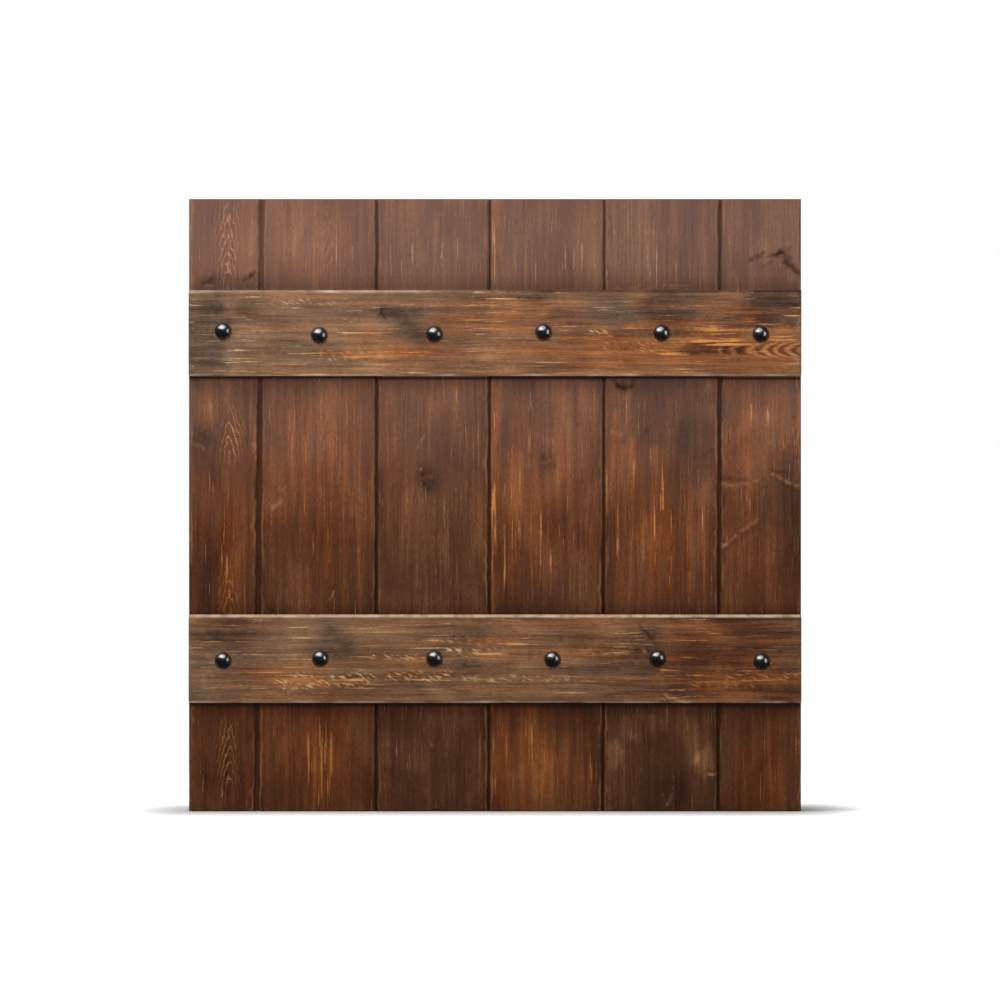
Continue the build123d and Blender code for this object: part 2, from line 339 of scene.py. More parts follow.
def attach(tree, shader, **inputs):
    """Sets or links the shader's inputs by name, with underscores for spaces."""
    for name, value in inputs.items():
        socket = shader.inputs[name.replace("_", " ")]
        if isinstance(value, bpy.types.NodeSocket):
            tree.links.new(value, socket)
        else:
            socket.default_value = value


def bumped(tree, height, strength, distance):
    """A normal that follows a height."""
    inputs = {"Height": height, "Strength": strength, "Distance": distance}
    return node(tree, "Bump", inputs).outputs[0]


# Layers of the grain's noise: stretch across and along the grain, detail, roughness, distortion
GRAIN_LAYERS = {
    "bands": (75, 3.5, 3.0, 0.5), "strips": (170, 6.5, 2.0, 0.5), "fibres": (430, 16, 4.0, 0.6),
    "fine": (700, 160, 3.0, 0.65), "blotches": (17, 9, 5.0, 0.55, 0.6), "hues": (20, 7, 3.0, 0.5, 0.4),
    "dashes": (390, 13, 3.0, 0.55), "breaks": (170, 70, 2.0, 0.6), "pores": (560, 26, 2.0, 0.5),
    "wander": (40, 6, 2.0, 0.5), "strokes": (400, 95, 2.0, 0.5), "busy": (31, 6, 3.0, 0.55),
}
# Slant of the strokes on wood without growth lines, and how soon a likely fibre turns fully pale
STROKE_SLANT = math.radians(24)
PALE_RISE = 0.16


def wood_finish(name, look):
    """Stained wood, drawn along each piece's own grain.

    Bands, fibres and pores are noise stretched along the grain. Growth lines are thin pale
    pulses of the growth distance, and wood without them has slanted strokes instead. Fields
    on the mesh add placed marks. Pale marks only make pale fibres more likely, so that they
    stay broken and thin.
    """
    made, tree, shader = new_finish(name)
    grain = field(tree, "grain").outputs["Vector"]
    marks = field(tree, "marks")
    parted = node(tree, "SeparateColor", {0: marks.outputs["Color"]})
    tone_mark, warm_mark, pale_mark = parted.outputs[:3]
    dark_mark = marks.outputs["Alpha"]
    figure = field(tree, "figure").outputs["Fac"]
    wear = field(tree, "wear_and_highlight").outputs["Fac"]
    level = node(tree, "SeparateXYZ", {0: object_place(tree)}).outputs[2]
    height = calc(tree, "MULTIPLY_ADD", level, 1 / LEAF_HEIGHT, -LEAF_FOOT / LEAF_HEIGHT, clamp=True)

    def layer(key, vector=grain):
        across, along, *rest = GRAIN_LAYERS[key]
        return noise(tree, vector, (across, along, 0), *rest)

    bands, strips, fibres, fine = map(layer, ("bands", "strips", "fibres", "fine"))
    blotches, dashes, breaks = map(layer, ("blotches", "dashes", "breaks"))
    hues = layer("hues", stretched(tree, grain, (-1, -1, 0)))
    pores = ranged(tree, layer("pores"), 0.37, 0.27)
    busy = ranged(tree, layer("busy"), 0.36, 0.62, look["calm"], 1.0)

    if look["ring_pitch"]:
        growth = node(tree, "SeparateXYZ", {0: grain}).outputs[2]
        rings = [(growth, 1 / look["ring_pitch"]), (layer("wander"), 1.3), (breaks, 1.9)]
        saw = calc(tree, "FRACT", total(tree, rings))
        line = calc(tree, "MULTIPLY", ranged(tree, saw, 0.62, 0.74), ranged(tree, saw, 0.94, 0.82))
        broken = ranged(tree, dashes, 0.32, 0.46)
    else:
        slant = {0: grain, "Angle": STROKE_SLANT}
        slanted = node(tree, "VectorRotate", slant, rotation_type="Z_AXIS").outputs[0]
        line = ranged(tree, layer("strokes", slanted), 0.5, 0.66)
        broken = ranged(tree, dashes, 0.36, 0.56, 0.35, 1.0)
    lines = calc(tree, "MULTIPLY", calc(tree, "MULTIPLY", line, broken), figure)

    strand = calc(tree, "MULTIPLY", calc(tree, "SUBTRACT", fibres, 0.5), busy)
    pits = calc(tree, "MULTIPLY", pores, busy)
    parts = [(bands, "bands"), (strips, "strips"), (fine, "fine"), (blotches, "blotches")]
    tone = total(tree, [(tone_mark, 1.0), *[(part, look[key]) for part, key in parts],
                        (strand, look["fibres"]), (pits, -look["pores"])])
    middle = 0.5 - 0.5 * sum(look[key] for _, key in parts)
    tone = calc(tree, "ADD", tone, middle, clamp=True)
    warmth = total(tree, [(warm_mark, 1.0), (hues, look["hues"]), (bands, look["warm_bands"])])
    middle = look["warmth"] - 0.5 * (look["hues"] + look["warm_bands"])
    warmth = calc(tree, "ADD", warmth, middle, clamp=True)
    colour = mixed(tree, warmth, ramp(tree, tone, look["tones"]), ramp(tree, tone, look["warm_tones"]))

    likely = total(tree, [(dashes, 1.0), (pale_mark, look["pale_gain"]), (fine, 0.16)])
    start = look["pale_from"]
    streaks = ranged(tree, likely, start, start + PALE_RISE, 0.0, look["pale_most"])
    bleached = mixed(tree, warmth, opaque(look["pale"]), opaque(look["pale_warm"]))
    colour = mixed(tree, calc(tree, "MAXIMUM", lines, streaks), colour, bleached)
    colour = mixed(tree, ramp(tree, height, greys(look["veil_rise"])), colour, opaque(look["veil"]))
    colour = mixed(tree, 1.0, colour, ramp(tree, height, greys(look["shade"])), "MULTIPLY")
    # This pale colour marks wear on arrises, chips and scratches, and on the ledges' top arris it is also a
    # painted highlight.
    rubbed = calc(tree, "MULTIPLY", wear, ranged(tree, breaks, 0.35, 0.55, 0.55, 1.0))
    colour = mixed(tree, rubbed, colour, opaque(look["wear_and_highlight"]))
    # The dark mark holds dark knots and cracks, and also painted shade under the ledges, over the lower one,
    # at the seams and on the upper ledge's top arris.
    colour = mixed(tree, dark_mark, colour, opaque(look["dark"]))

    relief = total(tree, [(fibres, 0.6), (fine, 0.5), (dark_mark, -0.6), (lines, 0.3), (pores, -0.3)])
    attach(tree, shader, Base_Color=colour, Roughness=ranged(tree, fine, 0.2, 0.8, 0.52, 0.72),
           Specular_IOR_Level=0.06, Normal=bumped(tree, relief, 0.35, 0.6 * MM))
    return made


def board_finish():
    """The boards' stain: dull brown, greyer and paler high up, darker and redder low down, where the
    darkening is painted shade.
    """
    tints = bpy.context.scene.barn_door_colours
    return wood_finish("board_stain", {
        "ring_pitch": BOARD_RING, "bands": 0.35, "strips": 0.4, "fibres": 0.6, "fine": 0.5,
        "calm": 0.22, "blotches": 0.78, "pores": 0.2, "hues": 0.95, "warm_bands": 0.55,
        "warmth": 0.28, "pale_from": 0.72, "pale_most": 0.85, "pale_gain": 0.42,
        "tones": evenly(tints.board_dark, tints.board_shade, tints.board_brown,
                        tints.board_light, tints.board_pale),
        "warm_tones": evenly(stain(49, 23, 10), stain(77, 39, 18), stain(107, 58, 29),
                             stain(140, 81, 43), stain(184, 118, 66)),
        "pale": stain(182, 142, 106), "pale_warm": stain(196, 126, 66),
        "wear_and_highlight": stain(172, 122, 80), "dark": stain(40, 24, 18), "veil": tints.veil,
        # Painted shade: the shade ramp darkens the boards towards the bottom. The veil greys and pales them
        # towards the top.
        "veil_rise": ((0.47, 0.0), (0.64, 0.076), (0.78, 0.12), (0.92, 0.15), (1.0, 0.155)),
        "shade": ((0.0, 0.62), (0.1, 0.66), (0.39, 0.71), (0.52, 0.92), (0.66, 1.0)),
    })


def ledge_finish():
    """The ledges' stain: more worn, with yellower streaks."""
    tints = bpy.context.scene.barn_door_colours
    return wood_finish("ledge_stain", {
        "ring_pitch": 0.0, "bands": 0.65, "strips": 0.5, "fibres": 0.58, "fine": 0.5,
        "calm": 0.35, "blotches": 0.95, "pores": 0.22, "hues": 1.0, "warm_bands": 1.2,
        "warmth": 0.35, "pale_from": 0.69, "pale_most": 0.85, "pale_gain": 0.27,
        "tones": evenly(stain(38, 28, 23), stain(84, 65, 52), tints.ledge_brown,
                        stain(158, 125, 93), stain(204, 172, 128)),
        "warm_tones": evenly(stain(46, 24, 14), stain(90, 50, 28), stain(134, 83, 48),
                             stain(172, 112, 64), stain(218, 156, 92)),
        "pale": stain(236, 202, 150), "pale_warm": stain(220, 148, 78),
        "wear_and_highlight": stain(202, 176, 152), "dark": stain(38, 29, 24), "veil": tints.veil,
        "veil_rise": ((0.6, 0.0), (0.85, 0.03), (1.0, 0.04)),
        # Painted shade: the shade ramp darkens the lower ledge.
        "shade": ((0.0, 0.7), (0.3, 0.71), (0.6, 0.88)),
    })


def end_finish(name, dark, light, axis):
    """Sawn end grain: growth arcs about a far centre, with pores."""
    made, tree, shader = new_finish(name)
    place = object_place(tree)
    spread = (1, 1, 0) if axis == "Z" else (0, 1, 1)
    flat = stretched(tree, place, spread)
    centre = (0.01, 0.06, 0.0) if axis == "Z" else (0.0, 0.06, 0.02)
    away = node(tree, "VectorMath", {0: flat, 1: centre}, operation="DISTANCE").outputs["Value"]
    wander = noise(tree, place, thrice(60), 3.0)
    rings = calc(tree, "FRACT", total(tree, [(away, 280.0), (wander, 1.6)]))
    pores = noise(tree, place, thrice(900), 2.0, 0.6)
    tone = total(tree, [(rings, 0.45), (pores, 0.5), (wander, 0.2)])
    colour = ramp(tree, tone, [(0.2, dark), (0.9, light)])
    attach(tree, shader, Base_Color=colour, Roughness=0.85, Specular_IOR_Level=0.2,
           Normal=bumped(tree, tone, 0.4, 0.5 * MM))
    return made


def sawn_finish(name, upright, dark, light):
    """Stained sawn timber whose grain runs up or across, with faint saw marks across it."""
    made, tree, shader = new_finish(name)
    turn = {0: object_place(tree), "Angle": 0.0 if upright else math.radians(90)}
    turned_place = node(tree, "VectorRotate", turn, rotation_type="Y_AXIS").outputs[0]
    bands = noise(tree, turned_place, (90, 90, 3), 4.0, 0.55)
    fibres = noise(tree, turned_place, (520, 520, 14), 4.0, 0.6)
    patches = noise(tree, turned_place, (22, 22, 7), 4.0, 0.55, 0.5)
    up = node(tree, "SeparateXYZ", {0: turned_place}).outputs[2]
    saw = calc(tree, "SINE", total(tree, [(up, 1900.0), (patches, 9.0)]))
    pale = ranged(tree, noise(tree, turned_place, (420, 420, 12), 3.0, 0.55), 0.6, 0.74)
    tone = total(tree, [(bands, 0.6), (fibres, 0.55), (patches, 0.5), (saw, 0.025), (pale, 0.12)])
    colour = ramp(tree, tone, [(0.5, dark), (1.2, light)])
    relief = total(tree, [(fibres, 0.6), (saw, 0.12), (bands, 0.3)])
    attach(tree, shader, Base_Color=colour, Roughness=ranged(tree, fibres, 0.3, 0.7, 0.62, 0.8),
           Specular_IOR_Level=0.2, Normal=bumped(tree, relief, 0.4, 0.6 * MM))
    return made


def iron_finish():
    """Black painted iron: glossy, a little uneven, duller where the paint has thinned."""
    made, tree, shader = new_finish("black_iron_paint")
    place = object_place(tree)
    dents = noise(tree, place, thrice(240), 2.0, 0.5)
    specks = noise(tree, place, thrice(1500), 3.0, 0.6)
    thin = ranged(tree, noise(tree, place, thrice(420), 4.0, 0.65), 0.58, 0.72)
    paint = opaque(bpy.context.scene.barn_door_colours.iron)
    colour = mixed(tree, calc(tree, "MULTIPLY", thin, 0.5), paint, opaque(stain(58, 48, 42)))
    rough = calc(tree, "ADD", total(tree, [(thin, 0.2), (specks, 0.12)]), 0.2)
    relief = total(tree, [(dents, 1.0), (specks, 0.05)])
    attach(tree, shader, Base_Color=colour, Roughness=rough, Specular_IOR_Level=1.0, Coat_Weight=1.0,
           Coat_Roughness=0.25, Normal=bumped(tree, relief, 0.15, 0.6 * MM))
    return made


def steel_finish(name, colour, rough, mottle):
    """Plated steel: a grey metal with cloudy patches, fine scratches and dull spots."""
    made, tree, shader = new_finish(name)
    place = object_place(tree)
    clouds = noise(tree, place, thrice(160), 4.0, 0.6)
    scratches = noise(tree, place, (300, 2600, 900), 2.0, 0.6)
    dull = opaque(stain(92, 84, 76))
    base = mixed(tree, calc(tree, "MULTIPLY", clouds, mottle), opaque(colour), dull)
    rough = calc(tree, "ADD", total(tree, [(clouds, 0.2), (scratches, 0.12)]), rough)
    attach(tree, shader, Base_Color=base, Metallic=1.0, Roughness=rough,
           Normal=bumped(tree, scratches, 0.12, 0.2 * MM))
    return made


def rubber_finish():
    """Soft black rubber with a faint moulded grain."""
    made, tree, shader = new_finish("pad_rubber_black")
    place = object_place(tree)
    grains = noise(tree, place, thrice(1800), 2.0, 0.6)
    dust = noise(tree, place, thrice(90), 4.0, 0.6)
    colour = ramp(tree, dust, [(0.3, stain(26, 26, 27)), (0.8, stain(58, 56, 54))])
    attach(tree, shader, Base_Color=colour, Roughness=0.8, Specular_IOR_Level=0.3,
           Normal=bumped(tree, grains, 0.3, 0.2 * MM))
    return made


# Marks in the wood, in picture pixels

# Each board's growth: the column of its heart, the roundness of its arches there and
# the swing that repeats them up the board
BOARD_HEARTS = ((229, 2 * MM, 13 * MM), (331, 4 * MM, 10 * MM), (430, 20 * MM, 10 * MM),
                (540, 12 * MM, 12 * MM), (668, 4 * MM, 13 * MM), (770, 8 * MM, 10 * MM))
BOARD_RING = 6.5 * MM
ARCH_PITCH = 210 * MM
ARCH_START = 50 * MM

# Knots: column, row, radius, darkness and how far they push the grain
BOARD_KNOTS = (
    (211, 281, 3.5, 0.35, 1.0), (251, 276, 3.5, 0.35, 1.0), (204, 437, 5.0, 0.4, 1.0),
    (430, 731, 5.0, 0.2, 0.8), (422, 474, 2.2, 0.65, 0.4), (430, 471, 2.0, 0.55, 0.3),
    (425, 483, 2.4, 0.7, 0.4), (433, 482, 2.0, 0.55, 0.3), (429, 489, 2.0, 0.5, 0.3),
    (543, 458, 2.0, 0.5, 0.4), (552, 457, 2.0, 0.5, 0.3), (546, 466, 2.2, 0.55, 0.4),
    (554, 466, 2.0, 0.45, 0.3), (624, 384, 5.5, 0.3, 0.5), (781, 256, 6.0, 0.2, 0.9),
)

# Soft patches: column, row, reach across, reach up, tone and warmth
BOARD_PATCHES = (
    (225, 480, 45, 60, -0.06, 0.25), (222, 765, 45, 55, -0.13, 0.35), (225, 575, 40, 50, -0.14, 0.2),
    (204, 455, 26, 26, -0.1, -0.1), (240, 300, 40, 22, -0.08, 0.0), (320, 480, 60, 60, 0.02, 0.35),
    (320, 760, 60, 60, 0.08, 0.6), (330, 240, 60, 60, 0.05, 0.05), (430, 420, 50, 40, 0.02, -0.25),
    (430, 530, 55, 90, -0.03, -0.45), (430, 760, 55, 60, 0.02, -0.7), (545, 490, 50, 70, 0.06, 0.25),
    (545, 415, 50, 35, -0.05, -0.1), (430, 240, 55, 50, -0.03, -0.3), (545, 240, 55, 50, -0.01, -0.35),
    (660, 240, 55, 50, 0.04, -0.7), (545, 770, 50, 50, 0.24, 0.7), (550, 590, 50, 30, -0.05, -0.1),
    (640, 455, 40, 26, 0.05, 0.2), (665, 530, 30, 60, 0.06, 0.35), (690, 470, 26, 24, -0.1, -0.2),
    (660, 760, 55, 55, -0.05, -1.0), (640, 590, 40, 25, 0.05, 0.1), (622, 425, 18, 60, 0.1, 0.15),
    (760, 420, 45, 45, 0.08, 0.1), (765, 235, 45, 50, 0.11, -0.6), (770, 505, 40, 30, -0.09, -0.1),
    (755, 460, 30, 22, 0.05, 0.2), (775, 570, 40, 40, -0.07, 0.35), (795, 545, 13, 75, -0.22, -0.4),
    (765, 770, 40, 50, 0.03, 0.6), (775, 265, 26, 16, -0.06, -0.1),
)

# Stains with firm edges, given in the same way
BOARD_STAINS = (
    (672, 412, 46, 32, -0.09, -0.9), (696, 438, 22, 20, -0.08, -0.6), (614, 752, 8, 15, 0.24, -1.2),
    (706, 762, 10, 16, 0.26, -1.2), (692, 742, 9, 22, 0.16, -1.0), (640, 726, 24, 12, 0.13, -1.0),
    (660, 774, 30, 34, -0.08, -0.5), (230, 284, 36, 9, -0.14, -0.1), (200, 437, 13, 9, -0.1, -0.2),
    (430, 478, 14, 14, -0.06, -0.3), (430, 726, 10, 12, 0.1, -0.6),
)

# Placed streaks: column, first row, last row, half width, paleness and warmth
BOARD_STREAKS = (
    (290, 203, 290, 1.2, 0.45, 0.1), (306, 203, 280, 1.1, 0.4, 0.1), (352, 210, 290, 1.2, 0.45, 0.1),
    (392, 203, 285, 1.1, 0.4, 0.0), (412, 215, 290, 1.2, 0.4, 0.0), (441, 203, 290, 1.1, 0.45, 0.0),
    (462, 203, 270, 1.2, 0.4, 0.0), (510, 205, 290, 1.1, 0.3, 0.1), (566, 203, 290, 1.2, 0.26, 0.1),
    (582, 210, 285, 1.1, 0.24, 0.1), (626, 203, 290, 1.1, 0.45, 0.0), (692, 203, 290, 1.2, 0.45, 0.0),
    (706, 203, 280, 1.1, 0.4, 0.0), (735, 205, 290, 1.2, 0.45, 0.1), (290, 385, 480, 1.2, 0.45, 0.2),
    (345, 380, 500, 1.2, 0.45, 0.2), (306, 400, 530, 1.2, 0.45, 0.3), (402, 380, 450, 1.1, 0.4, 0.0),
    (456, 380, 430, 1.2, 0.55, 0.1), (444, 385, 425, 1.0, 0.5, 0.0), (698, 385, 440, 1.0, 0.45, 0.0),
    (645, 385, 430, 1.0, 0.45, 0.0), (494, 200, 292, 1.6, 0.7, 0.6), (494.5, 378, 612, 1.7, 0.75, 0.7),
    (493, 706, 811, 1.6, 0.6, 0.7), (313, 715, 811, 1.3, 0.5, 0.5), (325, 710, 815, 3.4, 0.3, 0.95),
    (321, 705, 815, 1.4, 0.42, 1.0), (328, 730, 815, 1.5, 0.36, 1.0), (317, 745, 815, 1.3, 0.45, 0.6),
    (308, 715, 811, 1.4, 0.45, 0.5), (347, 720, 800, 1.4, 0.4, 0.5), (331, 715, 790, 1.4, 0.45, 0.6),
    (340, 700, 770, 1.2, 0.3, 0.4), (318, 390, 560, 1.6, 0.28, 0.3), (330, 380, 600, 1.4, 0.25, 0.3),
    (338, 205, 292, 1.2, 0.25, 0.1), (320, 230, 292, 1.2, 0.2, 0.1), (553, 205, 290, 1.6, 0.34, 0.3),
    (546, 203, 285, 1.2, 0.3, 0.2), (528, 225, 285, 1.4, 0.32, 0.2), (530, 380, 470, 1.4, 0.5, 0.2),
    (512, 420, 600, 1.5, 0.5, 0.5), (533, 470, 590, 1.4, 0.5, 0.4), (550, 500, 590, 1.3, 0.5, 0.5),
    (520, 440, 600, 1.2, 0.45, 0.4), (541, 480, 600, 1.2, 0.5, 0.4), (505, 480, 600, 1.2, 0.45, 0.5),
    (560, 470, 560, 1.0, 0.4, 0.2), (531, 705, 785, 2.2, 0.62, 0.8), (506, 715, 811, 1.4, 0.45, 0.6),
    (546, 712, 800, 1.5, 0.45, 0.6), (590, 720, 811, 1.4, 0.4, 0.5), (524, 720, 811, 1.4, 0.4, 0.7),
    (500, 715, 811, 1.5, 0.3, 0.5), (662, 465, 555, 1.8, 0.58, 0.8), (671, 500, 600, 1.4, 0.55, 0.6),
    (655, 480, 590, 1.2, 0.5, 0.5), (618, 500, 605, 1.2, 0.5, 0.4), (643, 200, 240, 1.2, 0.5, 0.2),
    (654, 200, 250, 1.2, 0.5, 0.2), (648, 248, 296, 1.2, 0.6, 0.0), (657, 242, 296, 1.0, 0.6, 0.0),
    (668, 250, 296, 1.2, 0.65, 0.0), (676, 246, 296, 1.0, 0.6, 0.0), (670, 425, 450, 1.6, 0.42, 0.1),
    (672, 415, 440, 1.2, 0.42, 0.0), (625, 390, 440, 1.2, 0.5, 0.1), (613, 395, 470, 1.2, 0.5, 0.3),
    (634, 440, 500, 1.0, 0.45, 0.3), (683, 455, 500, 1.0, 0.45, 0.3), (690, 500, 600, 1.2, 0.45, 0.4),
    (703, 480, 600, 1.0, 0.4, 0.4), (738, 385, 470, 1.2, 0.5, 0.3), (752, 380, 460, 1.2, 0.5, 0.2),
    (783, 395, 465, 1.4, 0.5, 0.5), (768, 380, 430, 1.0, 0.34, 0.2), (745, 400, 470, 1.4, 0.45, 0.3),
    (796, 420, 480, 1.8, 0.5, 0.6), (763, 200, 290, 1.2, 0.25, 0.2), (750, 490, 530, 1.5, 0.3, 0.3),
    (745, 740, 811, 2.0, 0.3, 0.6), (772, 735, 800, 1.6, 0.35, 0.6), (795, 730, 760, 1.5, 0.4, 0.5),
    (227, 500, 612, 4.0, 0.42, 0.5), (213, 380, 420, 1.2, 0.3, 0.1), (234, 500, 560, 1.2, 0.25, 0.3),
    (200, 720, 811, 1.3, 0.3, 0.4),
)

# Where growth lines show: column, row, reach across, reach up and strength
BOARD_FIGURE = (
    (228, 245, 9, 60, 0.6), (231, 440, 9, 30, 0.7), (228, 600, 8, 26, 0.6), (227, 760, 9, 60, 0.55),
    (330, 245, 10, 40, 0.2), (325, 430, 10, 60, 0.15),
)

# Cracks and chips: first column and row, last column and row, half width, darkness, paleness
BOARD_CRACKS = (
    (203, 283, 214, 278, 1.6, 0.45, 0.0), (206, 285, 212, 287, 1.3, 0.0, 0.5),
    (243, 281, 256, 272, 1.8, 0.45, 0.0), (246, 272, 250, 270, 1.2, 0.0, 0.6),
    (252, 282, 256, 284, 1.2, 0.0, 0.6), (192, 443, 204, 448, 1.3, 0.0, 0.3),
    (253, 445, 259, 451, 1.3, 0.0, 0.3), (272, 508, 282, 501, 2.0, 0.0, 0.4),
    (431, 743, 433, 746, 1.2, 0.0, 0.5), (458, 755, 464, 758, 1.2, 0.5, 0.0),
    (612, 287, 690, 286, 0.9, 0.0, 0.45), (751, 258, 764, 253, 1.8, 0.55, 0.0),
    (772, 256, 780, 251, 2.2, 0.5, 0.0), (780, 251, 791, 259, 1.8, 0.5, 0.0),
    (720, 483, 731, 486, 1.2, 0.0, 0.5), (733, 486, 758, 481, 1.0, 0.0, 0.35),
    (772, 474, 786, 481, 1.0, 0.0, 0.45), (788, 482, 799, 486, 1.2, 0.0, 0.35),
    (720, 478, 750, 481, 1.8, 0.4, 0.0), (775, 479, 799, 491, 1.8, 0.3, 0.0),
    (771, 470, 790, 473, 1.2, 0.5, 0.0), (722, 546, 736, 536, 1.3, 0.0, 0.33),
    (741, 531, 756, 521, 1.3, 0.0, 0.28), (723, 547, 727, 545, 1.3, 0.0, 0.5),
    (724, 551, 757, 526, 1.8, 0.25, 0.0), (706, 771, 717, 770, 1.0, 0.8, 0.0),
    (708, 774, 717, 774, 0.9, 0.0, 0.9), (750, 261, 774, 255, 1.2, 0.35, 0.0),
    (786, 262, 800, 274, 3.0, 0.8, 0.0), (762, 268, 772, 261, 1.4, 0.45, 0.0),
    (776, 255, 790, 249, 1.6, 0.4, 0.0), (700, 456, 716, 448, 1.2, 0.4, 0.0),
    (615, 380, 618, 386, 1.7, 0.6, 0.0), (618, 386, 625, 389, 2.0, 0.7, 0.0),
    (625, 389, 632, 386, 1.8, 0.65, 0.0), (632, 386, 634, 380, 1.4, 0.4, 0.0),
    (663, 795, 667, 806, 0.9, 0.0, 0.3), (672, 795, 667, 806, 0.9, 0.0, 0.3),
    (545, 462, 551, 461, 1.2, 0.0, 0.3), (424, 478, 431, 477, 1.2, 0.0, 0.2),
    (330, 600, 334, 592, 1.0, 0.0, 0.5), (612, 432, 622, 434, 1.4, 0.0, 0.45),
    (418, 448, 424, 436, 1.0, 0.0, 0.35),
)

# The same kinds of marks on the ledges
LEDGE_KNOTS = (
    (385, 313, 2.6, 0.5, 0.6), (553, 318, 3.0, 0.3, 0.6), (329, 628, 4.0, 0.3, 0.4),
    (465, 666, 4.0, 0.35, 0.4), (649, 635, 3.0, 0.3, 0.4), (676, 690, 3.0, 0.3, 0.5),
)

LEDGE_STAINS = (
    (200, 335, 26, 55, -0.2, -0.7), (402, 318, 22, 9, -0.1, -0.4), (412, 332, 15, 10, -0.12, -0.4),
    (610, 310, 26, 12, -0.1, -0.6), (670, 307, 26, 15, -0.16, -0.2), (780, 306, 34, 18, -0.19, -0.1),
    (334, 640, 18, 16, -0.12, -0.2), (468, 664, 15, 10, -0.1, -0.1), (642, 640, 18, 28, -0.1, -0.2),
    (708, 349, 28, 5, -0.17, 0.1),
)

LEDGE_PATCHES = (
    (230, 345, 40, 40, -0.08, -0.3), (290, 330, 60, 40, 0.03, -0.1), (390, 350, 60, 14, 0.06, 0.35),
    (425, 335, 60, 30, -0.07, 0.1), (530, 325, 60, 40, 0.06, 0.3), (600, 350, 80, 14, 0.02, 0.45),
    (740, 312, 30, 14, 0.02, 0.6), (690, 350, 80, 12, 0.04, 0.6), (780, 352, 30, 12, 0.06, 0.7),
    (495, 300, 60, 14, 0.02, 0.2), (250, 368, 60, 8, -0.05, -0.1), (322, 333, 60, 60, 0.11, -0.15),
    (495, 333, 60, 60, -0.05, 0.05), (580, 333, 50, 60, -0.06, 0.1), (668, 333, 50, 60, -0.14, 0.1),
    (230, 660, 40, 60, -0.11, 0.0), (582, 660, 50, 60, -0.07, 0.0), (668, 660, 50, 60, -0.1, 0.1),
    (765, 660, 60, 60, -0.21, 0.2), (205, 660, 30, 40, -0.05, -0.2), (315, 693, 90, 12, 0.1, 0.3),
    (320, 640, 60, 20, -0.04, 0.0), (300, 640, 70, 30, -0.02, -0.25), (300, 682, 80, 12, 0.08, 0.3),
    (430, 640, 60, 30, 0.02, 0.1), (520, 660, 70, 40, 0.04, 0.1), (720, 655, 70, 50, -0.03, 0.5),
    (780, 690, 40, 20, -0.08, 0.3), (560, 690, 60, 14, -0.02, -0.1),
)

# Placed streaks on the ledges: first column, last column, row, half width, paleness, warmth
LEDGE_STREAKS = (
    (680, 740, 334, 1.2, 0.8, 0.7), (700, 760, 345, 1.0, 0.8, 0.8), (655, 700, 356, 1.0, 0.7, 0.7),
    (745, 800, 326, 1.2, 0.75, 0.6), (760, 800, 340, 1.2, 0.85, 0.6), (765, 800, 362, 1.2, 0.8, 0.6),
    (720, 790, 369, 1.0, 0.7, 0.6), (620, 660, 328, 1.0, 0.6, 0.5), (280, 330, 304, 1.3, 0.5, 0.1),
    (250, 300, 311, 1.2, 0.35, 0.0), (330, 378, 334, 1.4, 0.5, 0.1), (250, 290, 333, 1.3, 0.5, 0.0),
    (270, 330, 340, 1.2, 0.4, 0.1), (310, 350, 352, 1.3, 0.5, 0.5), (385, 442, 352, 1.5, 0.6, 0.6),
    (390, 420, 355, 1.2, 0.4, 0.4), (345, 375, 357, 1.3, 0.4, 0.5), (220, 250, 351, 1.2, 0.4, 0.0),
    (260, 320, 366, 1.2, 0.3, 0.1), (360, 375, 325, 1.4, 0.5, 0.0), (395, 420, 304, 1.2, 0.45, 0.1),
    (440, 520, 320, 1.4, 0.35, 0.3), (520, 560, 352, 1.2, 0.4, 0.4), (560, 640, 338, 1.2, 0.45, 0.4),
    (598, 606, 333, 1.4, 0.7, 0.2), (670, 745, 329, 2.0, 1.1, 0.5), (672, 760, 341, 2.0, 1.1, 0.7),
    (650, 720, 322, 1.2, 0.7, 0.6), (690, 740, 354, 1.2, 0.7, 0.7), (660, 760, 362, 1.2, 0.6, 0.6),
    (740, 770, 320, 1.2, 0.4, 0.6), (560, 640, 365, 1.2, 0.35, 0.5), (620, 690, 352, 1.2, 0.4, 0.7),
    (760, 800, 333, 1.2, 0.3, 0.6), (480, 540, 300, 1.2, 0.3, 0.3), (200, 250, 641, 1.3, 0.4, 0.1),
    (205, 240, 652, 1.2, 0.3, 0.1), (320, 390, 682, 3.0, 0.36, 0.1), (360, 400, 659, 1.3, 0.4, 0.1),
    (240, 330, 672, 3.0, 0.4, 0.3), (345, 366, 680, 2.0, 0.35, 0.0), (390, 420, 676, 2.0, 0.4, 0.3),
    (465, 515, 653, 1.8, 0.9, 0.2), (475, 540, 640, 2.5, 0.4, 0.2), (550, 640, 650, 1.4, 0.5, 0.2),
    (460, 520, 640, 1.2, 0.4, 0.4), (570, 640, 682, 1.3, 0.45, 0.2), (655, 678, 670, 1.4, 0.9, 0.3),
    (690, 730, 671, 1.2, 0.5, 0.2), (740, 800, 678, 1.5, 0.55, 0.2), (670, 750, 655, 1.2, 0.35, 0.3),
    (700, 740, 685, 1.2, 0.3, 0.4), (752, 775, 662, 1.2, 0.6, 0.2), (230, 260, 684, 1.4, 0.7, 0.1),
    (495, 520, 661, 1.2, 0.35, 0.2), (280, 320, 627, 1.2, 0.3, 0.0), (700, 770, 690, 1.2, 0.3, 0.5),
    (500, 620, 700, 1.2, 0.35, 0.1), (560, 600, 640, 1.2, 0.3, 0.2),
)

